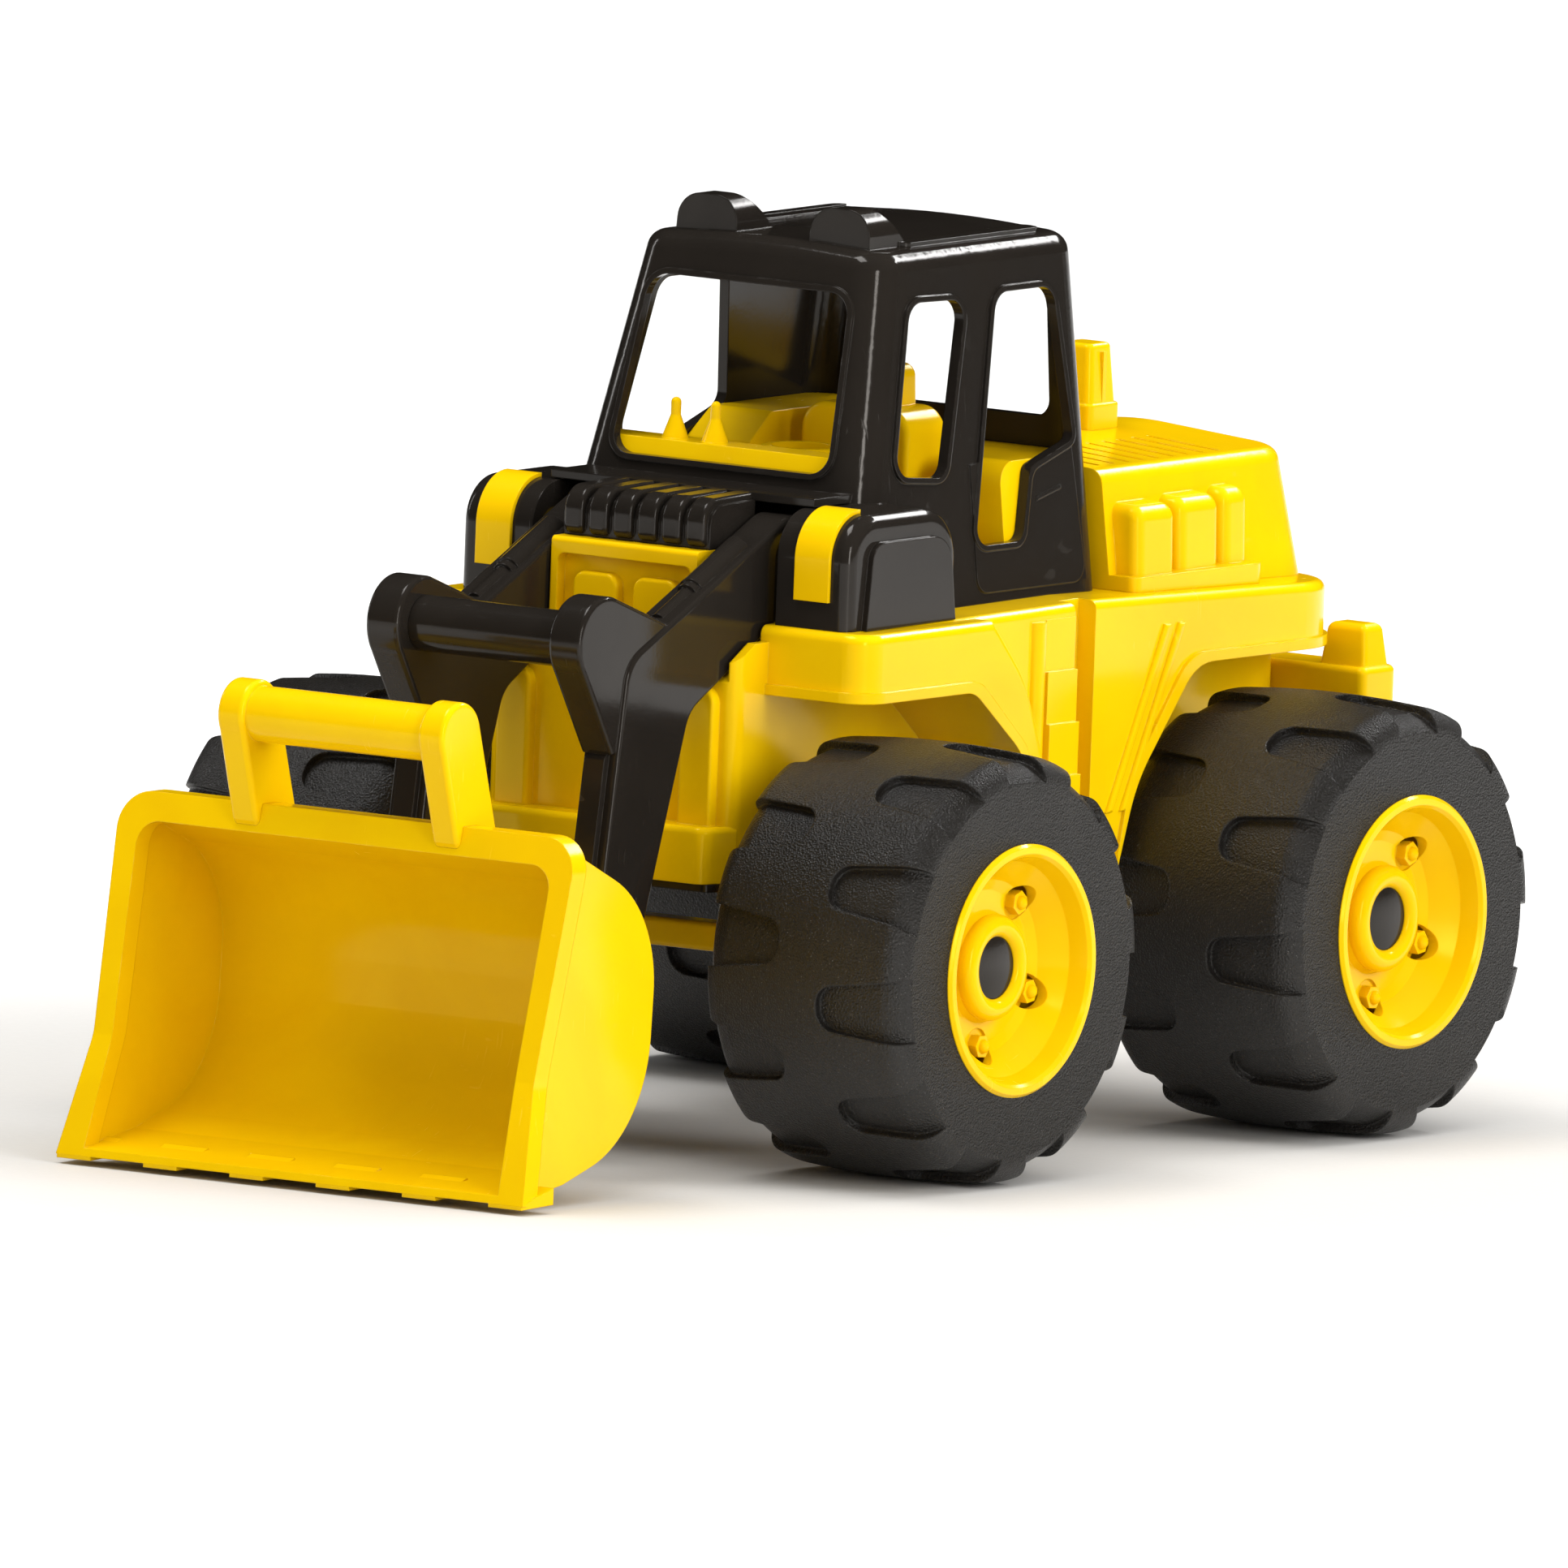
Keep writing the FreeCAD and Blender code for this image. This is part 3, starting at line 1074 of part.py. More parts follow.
# ---- cab ------------------------------------------------------------------
def cab_body(grow):
    """Plain tapered cab with a crowned roof, larger than its real skin by grow on every side."""
    low = BELT_REAR_Z - 6
    high = CAB_CROWN_Z + 12
    span = CAB_ROOF_Z - BELT_REAR_Z
    front_lean = (CAB_FRONT_TOP_Y - CAB_FRONT_Y) / (CAB_ROOF_Z - CAB_COWL_Z)
    rear_lean = (CAB_REAR_Y - CAB_REAR_TOP_Y) / span
    side_lean = (CAB_X - CAB_TOP_X) / span
    plans = []
    for z in (low, high):
        x = CAB_X + grow - side_lean * (z - BELT_REAR_Z)
        front = CAB_FRONT_Y - grow + front_lean * (z - CAB_COWL_Z)
        rear = CAB_REAR_Y + grow - rear_lean * (z - BELT_REAR_Z)
        r = CAB_EDGE_R + grow
        plans.append([(-x, front, r), (x, front, r), (x, rear, r), (-x, rear, r)])
    body = tapered(plans[0], low, plans[1], high)
    wide = CAB_X + 20
    side_z = CAB_ROOF_Z - CAB_CROWN_DROP + grow
    crown = front_prism([(-wide, low - 5), (wide, low - 5), (wide, side_z),
                         (0, CAB_CROWN_Z + CAB_CROWN_DROP + grow, CAB_CROWN_R), (-wide, side_z)],
                        CAB_FRONT_Y - 40, CAB_REAR_Y + 20)
    body = body.common(crown)
    if grow:
        return body
    return rounded(body, CAB_ROOF_R, lambda e: e.BoundBox.ZMin > CAB_ROOF_Z - 12
                   and not (e.BoundBox.YLength > 60 and abs(e.CenterOfMass.x) < 35))


def cover_outline(grow):
    low = BELT_REAR_Z - 6
    return [(COVER_FRONT_Y - grow, low, 0), (COVER_FRONT_Y - grow, COVER_TOP_Z + grow, COVER_NOSE_R + grow),
            (COVER_REAR_Y + grow, COVER_TOP_Z + grow, COVER_TAIL_R + grow), (COVER_REAR_Y + grow, low, 0)]


def cover_body(grow):
    """Plain left fender cover, larger than its real skin by grow on every side."""
    body = side_prism(cover_outline(grow), COVER_X0 - grow, COVER_X1 + grow)
    if grow < 0:
        return body
    return rounded(body, COVER_EDGE_R, lambda e: e.BoundBox.XLength < 0.01 and e.BoundBox.XMin > COVER_X1 - 1
                   and e.BoundBox.ZMax > BELT_REAR_Z)


def on_side(points):
    """(y, z, radius) points of an outline given from the cab's front and from its cowl or its roof."""
    placed = []
    for behind, height, radius in points:
        base = CAB_COWL_Z if height >= 0 else CAB_ROOF_Z
        placed.append((CAB_FRONT_Y + behind, base + height, radius))
    return placed


def below_cowl(points, depth):
    """(y, z, radius) points at depth under the cowl's height."""
    return [(CAB_FRONT_Y + behind, CAB_COWL_Z - depth, radius) for behind, radius in points]


def cab_windows(grow):
    """Prisms through the cab's windows, larger than the windows by grow on every side."""
    screen_low = CAB_COWL_Z + SCREEN_RISE
    screen_top = CAB_ROOF_Z - SCREEN_DROP
    screen = [(-SCREEN_LOW_X, screen_low, SCREEN_LOW_R), (SCREEN_LOW_X, screen_low, SCREEN_LOW_R),
              (SCREEN_TOP_X, screen_top, SCREEN_TOP_R), (-SCREEN_TOP_X, screen_top, SCREEN_TOP_R)]
    back_low = CAB_COWL_Z + BACK_RISE
    back_top = CAB_ROOF_Z - BACK_DROP
    back = [(-BACK_LOW_X, back_low, BACK_WINDOW_R), (BACK_LOW_X, back_low, BACK_WINDOW_R),
            (BACK_TOP_X, back_top, BACK_WINDOW_R), (-BACK_TOP_X, back_top, BACK_WINDOW_R)]
    door = below_cowl(DOOR_NOTCH, DOOR_SILL) + on_side(DOOR_WINDOW)
    left = [on_side(QUARTER_WINDOW), door]
    prisms = [front_prism(grown(screen, grow), CAB_FRONT_Y - 20, CAB_FRONT_TOP_Y + 14),
              front_prism(grown(back, grow), CAB_REAR_TOP_Y - 20, CAB_REAR_Y + 5)]
    prisms += [side_prism(grown(outline, grow), 20, CAB_X + 9) for outline in left]
    prisms.append(side_prism(grown(on_side(FAR_WINDOW), grow), -CAB_X - 9, -20))
    return prisms


def roof_pod():
    half = POD_W / 2.0
    foot = CAB_ROOF_Z - 6
    rear = POD_Y + POD_L
    top = POD_TOP_Z + 1
    arch = front_prism([(POD_X - half, foot), (POD_X + half, foot), (POD_X + half - 1, POD_TOP_Z, POD_R),
                        (POD_X - half + 1, POD_TOP_Z, POD_R)], POD_Y - 2, rear)
    wedge = side_prism([(POD_Y - 1, foot), (POD_Y, top), (POD_Y + POD_FLAT, top), (rear, CAB_ROOF_Z + 1),
                        (rear, foot)], 0, POD_X + half + 5)
    return arch.common(wedge)


def door_panel():
    """Raised lower part of the door with the short line of its handle."""
    outline = below_cowl(DOOR_PANEL_LOW, PANEL_DEPTH) + on_side(DOOR_PANEL_HIGH)
    panel = side_prism(outline, 40, CAB_X + 9).common(cab_body(DOOR_RELIEF))
    (start_y, start_drop), (end_y, end_drop) = HANDLE_LINE
    start = (CAB_FRONT_Y + start_y, CAB_COWL_Z - start_drop)
    end = (CAB_FRONT_Y + end_y, CAB_COWL_Z - end_drop)
    line = side_prism([start, end, (end[0], end[1] + HANDLE_LINE_H), (start[0], start[1] + HANDLE_LINE_H)],
                      40, CAB_X + 9)
    return [panel, line.common(cab_body(DOOR_RELIEF + HANDLE_LINE_OUT))]


def roof_frame(inset, z0, z1):
    """Rounded rectangle of the roof's panel, drawn inwards by inset."""
    x = PANEL_X - inset
    y0 = PANEL_Y0 + inset
    y1 = PANEL_Y1 - inset
    return plan_prism(frame_plan(x, y0, y1, PANEL_R - inset), z0, z1)


def make_cab():
    ahead = COVER_FRONT_Y - 10
    foot = BELT_REAR_Z - 10
    keep_x = COVER_X0 + WALL
    front_gap = box(-COVER_X0, COVER_X0, ahead, CAB_FRONT_Y, foot, CAB_COWL_Z - WALL)
    front_keep = box(-keep_x, keep_x, ahead, CAB_FRONT_Y + WALL, foot, CAB_COWL_Z)
    cowl = box(-COVER_X0 - 4, COVER_X0 + 4, COWL_FRONT_Y, CAB_FRONT_Y + 6, CAB_COWL_Z - WALL, CAB_COWL_Z)
    pad_front = COVER_FRONT_Y + PAD_FRONT
    pad_rear = COVER_REAR_Y - PAD_REAR
    pad_top = COVER_TOP_Z - PAD_DROP
    pad = side_prism([(pad_front, BELT_REAR_Z - 6, 0), (pad_front + PAD_FRONT_LEAN, pad_top, PAD_FRONT_R),
                      (pad_rear - PAD_REAR_LEAN, pad_top, PAD_REAR_R), (pad_rear, BELT_REAR_Z - 6, 0)],
                     COVER_X1 - 2, COVER_X1 + COVER_PAD)
    covers = both_sides(fuse([cover_body(0), pad]))
    rail = plan_prism([(RAIL_X0, RAIL_Y0, RAIL_R), (RAIL_X1, RAIL_Y0 + RAIL_SLANT, RAIL_R),
                       (RAIL_X1, RAIL_Y1, RAIL_R), (RAIL_X0, RAIL_Y1, RAIL_R)],
                      CAB_ROOF_Z - 8, CAB_CROWN_Z + 10)
    roof = both_sides(roof_pod()) + both_sides(rail.common(cab_body(RAIL_H)))
    raised = cab_body(BEAD_H)
    beads = [prism.common(raised) for prism in cab_windows(BEAD_W)]
    outer = fuse([cab_body(0), cowl] + door_panel() + beads + covers + roof).cut(front_gap)
    ring = roof_frame(0, CAB_ROOF_Z - 6, CAB_CROWN_Z + 5)
    panel = roof_frame(GROOVE_W, CAB_ROOF_Z - 7, CAB_CROWN_Z + 6)
    groove = ring.cut([panel, cab_body(-GROOVE)])
    cavities = [cab_body(-WALL).cut(front_keep)] + both_sides(cover_body(-WALL))
    return outer.cut(cavities + cab_windows(0) + [groove, under_deck()])


def make_lamp_strip():
    """Curved marker strip that lies on the left cover's nose."""
    band = side_prism(cover_outline(LAMP_T), LAMP_X0, LAMP_X1)
    band = band.cut(side_prism(cover_outline(0), LAMP_X0 - 1, LAMP_X1 + 1))
    keep = box(LAMP_X0, LAMP_X1, COVER_FRONT_Y - 10, LAMP_TOP_Y, LAMP_BOTTOM_Z, COVER_TOP_Z + 10)
    return band.common(keep)


def make_grille():
    back = COWL_FRONT_Y
    face = GRILLE_FRONT_Y + GRILLE_RIB_OUT
    base = side_prism([(face, TOWER_TOP_Z), (face, GRILLE_TOP_Z - GRILLE_RIB_OUT, GRILLE_NOSE_R - 1),
                       (back, CAB_COWL_Z - GRILLE_RIB_OUT, 0), (back, TOWER_TOP_Z)], -TOWER_X, TOWER_X)
    pitch = 2.0 * TOWER_X / GRILLE_RIBS
    half = GRILLE_RIB_SHARE * pitch / 2.0
    foot = TOWER_TOP_Z + 1
    ribs = []
    for i in range(GRILLE_RIBS):
        x = -TOWER_X + (i + 0.5) * pitch
        rib = side_prism([(GRILLE_FRONT_Y, foot, 3), (GRILLE_FRONT_Y, GRILLE_TOP_Z, GRILLE_NOSE_R),
                          (back, CAB_COWL_Z, 0), (back, foot, 0)], x - half, x + half)
        ribs.append(rounded(rib, GRILLE_RIB_R, lambda e: e.BoundBox.XLength < 0.01
                            and e.BoundBox.YMax < back - 0.01))
    rise = box(-TOWER_X - 1, TOWER_X + 1, TOWER_RISE_Y, back + 1, TOWER_TOP_Z - 1, TOWER_RISE_Z)
    return fuse([base] + ribs).cut(rise)


def tray_masses(inset):
    """Raised masses of the cab's tray, drawn inwards by inset: dash, plate, rear shelf and two consoles."""
    low = BELT_REAR_Z - 8
    dash = DASH_Z - inset
    floor = FLOOR_Z - inset
    shelf = SHELF_Z - inset
    wide = CAB_X + 5
    dash_y = DASH_REAR_Y - inset
    shelf_y = SHELF_Y + inset
    side = side_prism([(0, low), (0, dash), (dash_y, dash, TRAY_R), (dash_y + TRAY_R, floor, TRAY_R),
                       (shelf_y - TRAY_R, floor, TRAY_R), (shelf_y, shelf, TRAY_R), (CAB_REAR_Y, shelf),
                       (CAB_REAR_Y, low)], -wide, wide)
    x = PLATE_X - inset
    y0 = PLATE_Y0 + inset
    y1 = PLATE_Y1 - inset
    plate = plan_prism([(-x, y0, PLATE_FRONT_R), (x, y0, PLATE_FRONT_R), (x, y1, PLATE_REAR_R),
                        (-x, y1, PLATE_REAR_R)], low, PLATE_Z - inset)
    front = SHELF_FRONT_Y + inset
    left = side_prism([(front, low), (front, shelf, SHELF_FRONT_R), (CAB_REAR_Y, shelf), (CAB_REAR_Y, low)],
                      SIDE_BOX_X0 + inset, wide)
    front = SIDE_BOX_Y + inset
    top = SIDE_BOX_TOP_Z - inset
    right = side_prism([(front, low), (front, shelf, SIDE_BOX_R / 2.0),
                        (front + SIDE_BOX_RUN, top, SIDE_BOX_R), (CAB_REAR_Y, top), (CAB_REAR_Y, low)],
                       -wide, -SIDE_BOX_X0 - inset)
    return fuse([side, plate, left, right])


def make_interior():
    """Tray of the cab with its dash, plate, consoles and two levers."""
    clear = WALL + TRAY_GAP
    ahead = COVER_FRONT_Y - 10
    foot = BELT_REAR_Z - 10
    keep_x = COVER_X0 + WALL + 1
    keep = box(-keep_x, keep_x, ahead, CAB_FRONT_Y + clear, foot, CAB_COWL_Z + TRAY_GAP)
    inner_keep = box(-CAB_X, CAB_X, ahead, CAB_FRONT_Y + clear + WALL, foot, CAB_COWL_Z + clear)
    solid = tray_masses(0).common(cab_body(-clear)).cut(keep)
    cavity = tray_masses(WALL).common(cab_body(-clear - WALL)).cut(inner_keep)
    tray = solid.cut([cavity, under_deck()])
    details = []
    for x in LEVER_XS:
        cone_h = LEVER_H * LEVER_CONE_SHARE
        details.append(Part.makeCone(LEVER_CONE_R, LEVER_R, cone_h, V(x, LEVER_Y, DASH_Z - 0.5)))
        details.append(Part.makeCylinder(LEVER_R, LEVER_H - LEVER_R, V(x, LEVER_Y, DASH_Z)))
        details.append(Part.makeSphere(LEVER_R, V(x, LEVER_Y, DASH_Z + LEVER_H - LEVER_R)))
    ring = Part.makeCylinder(RING_R, RING_T + 0.5, V(0, RING_Y, PLATE_Z - 0.5))
    ring = rounded(ring, RING_EDGE_R, lambda e: e.BoundBox.ZMin > PLATE_Z + 1)
    dish = Part.makeCylinder(RING_R - RING_W, RING_T, V(0, RING_Y, PLATE_Z + RING_EDGE_R))
    details.append(ring.cut(dish))
    return fuse([tray] + details)


def seat_block(low_x, top_x, z0, z1, corner, y0, y1):
    """Block of the seat, the same on both sides, with its upper corners rounded."""
    return front_prism([(-low_x, z0, 0), (low_x, z0, 0), (top_x, z1, corner), (-top_x, z1, corner)], y0, y1)


def make_seat():
    half = SEAT_W / 2.0
    head_half = HEAD_W / 2.0
    rear = BACK_Y + BACK_T
    cushion = seat_block(half, half, FLOOR_Z, SEAT_TOP_Z, SEAT_CUSHION_R, SEAT_Y, BACK_Y + 4)
    back = seat_block(half, half - 1, FLOOR_Z, BACK_TOP_Z, SEAT_BACK_R, BACK_Y, rear)
    back = rounded(back, SEAT_EDGE_R, lambda e: e.BoundBox.YLength < 0.01 and e.BoundBox.ZMax > FLOOR_Z + 1)
    head = seat_block(head_half + 1, head_half, BACK_TOP_Z - 4, HEAD_TOP_Z, SEAT_HEAD_R, HEAD_Y, rear - 2)
    head = rounded(head, HEAD_EDGE_R, lambda e: e.BoundBox.YLength < 0.01 and e.BoundBox.ZMax > BACK_TOP_Z)
    return fuse([cushion, back, head])


# ---- boom -----------------------------------------------------------------
def turned(y, z, degrees, reach):
    """Point at reach from (y, z) in the direction that leans degrees from straight up towards the front."""
    angle = math.radians(degrees)
    return (y - reach * math.sin(angle), z + reach * math.cos(angle))


def arm_outline():
    top = turned(BOOM_PIVOT[0], BOOM_PIVOT[1], ARM_TOP_DEG, BOOM_END_R)
    under = turned(BOOM_PIVOT[0], BOOM_PIVOT[1], ARM_UNDER_DEG, -BOOM_END_R)
    foot = BUCKET_PIVOT_R - 0.1
    front_foot = turned(BUCKET_PIVOT[0], BUCKET_PIVOT[1], ARM_FOOT_DEGS[0], foot)
    rear_foot = turned(BUCKET_PIVOT[0], BUCKET_PIVOT[1], ARM_FOOT_DEGS[1], foot)
    return [top, ARM_BEND + (ARM_BEND_R,), ARM_KNEE + (ARM_KNEE_R,), front_foot, BUCKET_PIVOT, rear_foot,
            ARM_HEEL + (ARM_HEEL_R,), ARM_ELBOW + (ARM_ELBOW_R,), under, BOOM_PIVOT]


def make_arm():
    """Left boom arm with its crossbar boss and moulded lift cylinder."""
    body = fuse([side_prism(arm_outline(), ARM_X0, ARM_X1), rod(BOOM_PIVOT, BOOM_END_R, ARM_X0, ARM_X1),
                 rod(BUCKET_PIVOT, BUCKET_PIVOT_R, ARM_X0, ARM_X1)])
    body = rounded(body, ARM_EDGE_R, lambda e: e.BoundBox.XLength < 0.01)
    boss_top = turned(BOSS[0], BOSS[1], BOSS_DEGS[0], BOSS_R)
    boss_front = turned(BOSS[0], BOSS[1], BOSS_DEGS[1], BOSS_R)
    web = side_prism([boss_top, BOSS, boss_front, (ARM_KNEE[0] + WEB_KNEE, WEB_LOW_Z),
                      (ARM_BEND[0] + WEB_UNDER[0], ARM_BEND[1] + WEB_UNDER[1]),
                      (ARM_BEND[0] + WEB_TOP[0], ARM_BEND[1] + WEB_TOP[1])], ARM_X0, BOSS_X1)
    boss = fuse([web, rod(BOSS, BOSS_R, ARM_X0, BOSS_X1)])
    boss = rounded(boss, ARM_EDGE_R, lambda e: e.BoundBox.XLength < 0.01 and e.CenterOfMass.y < BOSS[0]
                   and e.CenterOfMass.z > BOSS[1] - 20)
    slope = math.radians(ARM_TOP_DEG)
    start = turned(BOOM_PIVOT[0], BOOM_PIVOT[1], ARM_TOP_DEG, BOOM_END_R - CYL_SINK)
    along = V(0, -math.cos(slope), -math.sin(slope))
    foot = V(CYL_X, start[0], start[1])
    end = CYL_START + CYL_LEN
    barrel = Part.makeCylinder(CYL_R, CYL_LEN, foot + along * CYL_START, along)
    collar = Part.makeCylinder(CYL_R - COLLAR_STEP, COLLAR_LEN, foot + along * (end - 1), along)
    piston = Part.makeCylinder(ROD_R, ROD_LEN + COLLAR_LEN - 1, foot + along * end, along)
    rib_front = ARM_BEND[0] - ARM_RIB_SINK - ARM_RIB_OUT
    rib = side_prism([(rib_front, WEB_LOW_Z, ARM_RIB_R), (rib_front + ARM_RIB_DEPTH, WEB_LOW_Z, 0),
                      (rib_front + ARM_RIB_DEPTH / 2, ARM_RIB_LOW_Z, 0),
                      (rib_front - ARM_RIB_LEAN, ARM_RIB_LOW_Z, ARM_RIB_R)],
                     CYL_X - ARM_RIB_W / 2, CYL_X + ARM_RIB_W / 2)
    arm = fuse([body, boss, barrel, collar, piston, rib])
    bores = [rod(centre, PIN_R + PIN_RUN, ARM_X0 - 1, ARM_X1 + 1) for centre in (BOOM_PIVOT, BUCKET_PIVOT)]
    return arm.cut(bores)


# ---- bucket ---------------------------------------------------------------
def bucket_outline():
    return [RIM_TOP, BACK_HIGH + (BACK_HIGH_R,), BACK_LOW + (BACK_LOW_R,), FLOOR_FRONT + (FLOOR_BEND_R,),
            LIP_TIP, RIM_KINK]


def bucket_flange():
    """Solid band behind the mouth's edge, wider than the bucket."""
    lean = (FLANGE_TOP_Z - RIM_TOP[1]) * (RIM_TOP[0] - RIM_KINK[0]) / (RIM_TOP[1] - RIM_KINK[1])
    top = RIM_TOP[0] + lean
    wide = FLANGE_LOW_X + 5
    band = side_prism([(top - FLANGE_OUT, FLANGE_TOP_Z), (RIM_KINK[0] - FLANGE_OUT, RIM_KINK[1]),
                       (LIP_TIP[0] - FLANGE_OUT, LIP_TIP[1]), (LIP_TIP[0] + FLANGE_T, LIP_TIP[1] - 0.6),
                       (RIM_KINK[0] + FLANGE_T, RIM_KINK[1]), (top + FLANGE_T, FLANGE_TOP_Z)], -wide, wide)
    outline = front_prism([(-FLANGE_LOW_X, 0), (FLANGE_LOW_X, 0), (FLANGE_KINK_X, RIM_KINK[1], FLANGE_KINK_R),
                           (FLANGE_TOP_X, FLANGE_TOP_Z, FLANGE_CORNER_R),
                           (-FLANGE_TOP_X, FLANGE_TOP_Z, FLANGE_CORNER_R),
                           (-FLANGE_KINK_X, RIM_KINK[1], FLANGE_KINK_R)], LIP_TIP[0] - 20, BACK_HIGH[0])
    return band.common(outline)


def bucket_tooth(x):
    half = TOOTH_W / 2.0
    tip = TOOTH_TIP_W / 2.0
    front = -BUCKET_REACH
    root = front + TOOTH_LEN
    plan = plan_prism([(x - half, root), (x + half, root), (x + tip, front), (x - tip, front)],
                      TOOTH_Z0 - 1, TOOTH_Z0 + 4 * TOOTH_T)
    side = side_prism([(front, TOOTH_Z0), (front, TOOTH_Z0 + TOOTH_TIP_T),
                       (root, TOOTH_Z0 + TOOTH_RISE + TOOTH_T), (root, TOOTH_Z0 + TOOTH_ROOT_Z)],
                      x - half, x + half)
    return plan.common(side)


def bucket_solid():
    body = side_prism(bucket_outline(), -BUCKET_X, BUCKET_X)
    return fuse([body, bucket_flange()])


def make_bucket():
    wall = BUCKET_WALL
    inner = inset_outline(bucket_outline(), [wall, wall, wall, wall, -30, -30])
    cavity = side_prism(inner, -BUCKET_X + wall, BUCKET_X - wall)
    wide_cavity = side_prism(inner, -BUCKET_X, BUCKET_X)
    body = side_prism(bucket_outline(), -BUCKET_X, BUCKET_X).cut(cavity)
    kink_z = RIM_KINK[1]
    mouth = front_prism([(-MOUTH_X, -20), (MOUTH_X, -20), (MOUTH_X, 0), (MOUTH_KINK_X, kink_z, MOUTH_KINK_R),
                         (MOUTH_TOP_X, MOUTH_TOP_Z, MOUTH_CORNER_R),
                         (-MOUTH_TOP_X, MOUTH_TOP_Z, MOUTH_CORNER_R),
                         (-MOUTH_KINK_X, kink_z, MOUTH_KINK_R), (-MOUTH_X, 0)], LIP_TIP[0] - 30, BACK_HIGH[0])
    flange = bucket_flange().cut(mouth.common(wide_cavity))
    y, z = BUCKET_PIVOT
    lug_side = [(y, z + LUG_R), (BACK_HIGH[0] - LUG_SINK, z + LUG_R + LUG_ROOT_OUT[0]),
                (BACK_LOW[0] - LUG_SINK, z - LUG_R - LUG_ROOT_OUT[1]), (y, z - LUG_R)]
    lugs = []
    for x0 in (ARM_X0 - BODY_GAP - LUG_T, ARM_X1 + BODY_GAP):
        lug = fuse([side_prism(lug_side, x0, x0 + LUG_T), rod(BUCKET_PIVOT, LUG_R, x0, x0 + LUG_T)])
        lugs += both_sides(lug.cut(wide_cavity))
    teeth = [bucket_tooth((i - (TOOTH_COUNT - 1) / 2.0) * TOOTH_PITCH) for i in range(TOOTH_COUNT)]
    bucket = fuse([body, flange] + lugs + teeth)
    return bucket.cut(rod(BUCKET_PIVOT, PIN_R, -BUCKET_X, BUCKET_X))


def make_handle():
    front_top = turned(HANDLE_BAR[0], HANDLE_BAR[1], HANDLE_DEGS[0], HANDLE_END_R)
    rear_top = turned(HANDLE_BAR[0], HANDLE_BAR[1], HANDLE_DEGS[1], HANDLE_END_R)
    foot = (HANDLE_FOOT_REAR[0] - HANDLE_FOOT_STEP, HANDLE_FOOT_REAR[1])
    leg = side_prism([front_top, HANDLE_FOOT_FRONT, foot, HANDLE_FOOT_REAR, rear_top, HANDLE_BAR],
                     HANDLE_X0, HANDLE_X1)
    leg = fuse([leg, rod(HANDLE_BAR, HANDLE_END_R, HANDLE_X0, HANDLE_X1)])
    leg = rounded(leg, HANDLE_EDGE_R, lambda e: e.BoundBox.XLength < 0.01)
    bar = rod(HANDLE_BAR, HANDLE_BAR_R, -HANDLE_X0 - 1, HANDLE_X0 + 1)
    return fuse([bar] + both_sides(leg)).cut(bucket_solid())


# ---- nodes ----------------------------------------------------------------
def pivot_pin(centre, end):
    return rod(centre, PIN_R, -end, end)


def build_nodes():
    nodes = {}
    nodes["chassis_shell"] = make_chassis()
    nodes["floor_tray"] = make_floor_tray()
    nodes["tray_screws"] = make_tray_screws()
    nodes["engine_hood"] = make_hood()
    nodes["exhaust_stack"] = make_stack()
    nodes["rear_bumper"] = make_bumper()
    nodes["cab_shell"] = make_cab()
    nodes["cab_interior"] = make_interior()
    nodes["driver_seat"] = make_seat()
    nodes["front_grille"] = make_grille()
    strip = make_lamp_strip()
    nodes["marker_strip_left"] = strip
    nodes["marker_strip_right"] = mirrored(strip)
    nodes["boom_pivot_pin"] = pivot_pin(BOOM_PIVOT, ARM_X1 + SLOT_OUTER_CLEAR + WALL)
    arm = make_arm()
    nodes["boom_arm_left"] = arm
    nodes["boom_arm_right"] = mirrored(arm)
    nodes["boom_crossbar"] = rod(BOSS, CROSSBAR_R, -ARM_X0, ARM_X0)
    nodes["bucket"] = make_bucket()
    nodes["bucket_handle"] = make_handle()
    nodes["bucket_pivot_pin"] = pivot_pin(BUCKET_PIVOT, ARM_X1 + BODY_GAP + LUG_T)
    tyre = make_tyre()
    rim = make_rim()
    cap = make_cap()
    for corner, side, axle_y in (("front_left", 1, 0.0), ("front_right", -1, 0.0),
                                 ("rear_left", 1, WHEELBASE), ("rear_right", -1, WHEELBASE)):
        nodes["tyre_" + corner] = place_wheel(tyre, side, axle_y, TYRE_FACE_X - TYRE_W / 2.0)
        nodes["rim_" + corner] = place_wheel(rim, side, axle_y, TYRE_FACE_X + RIM_LIP)
        nodes["hub_cap_" + corner] = place_wheel(cap, side, axle_y, TYRE_FACE_X + RIM_LIP)
    for name, axle_y in (("front", 0.0), ("rear", WHEELBASE)):
        nodes[name + "_axle_beam"] = axle_beam(axle_y)
        nodes[name + "_axle_rod"] = axle_rod(axle_y)
        nodes[name + "_axle_nuts"] = axle_nuts(axle_y)
    return nodes


os.makedirs("parts", exist_ok=True)
for node, shape in build_nodes().items():
    print(node, shape.isValid(), len(shape.Solids), round(shape.Volume))
    export(shape, node)
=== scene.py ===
"""Looks of the toy wheel loader: moulded plastics, stippled tyres, studio light and camera."""

import json
import math

import bpy
from mathutils import Matrix, Vector

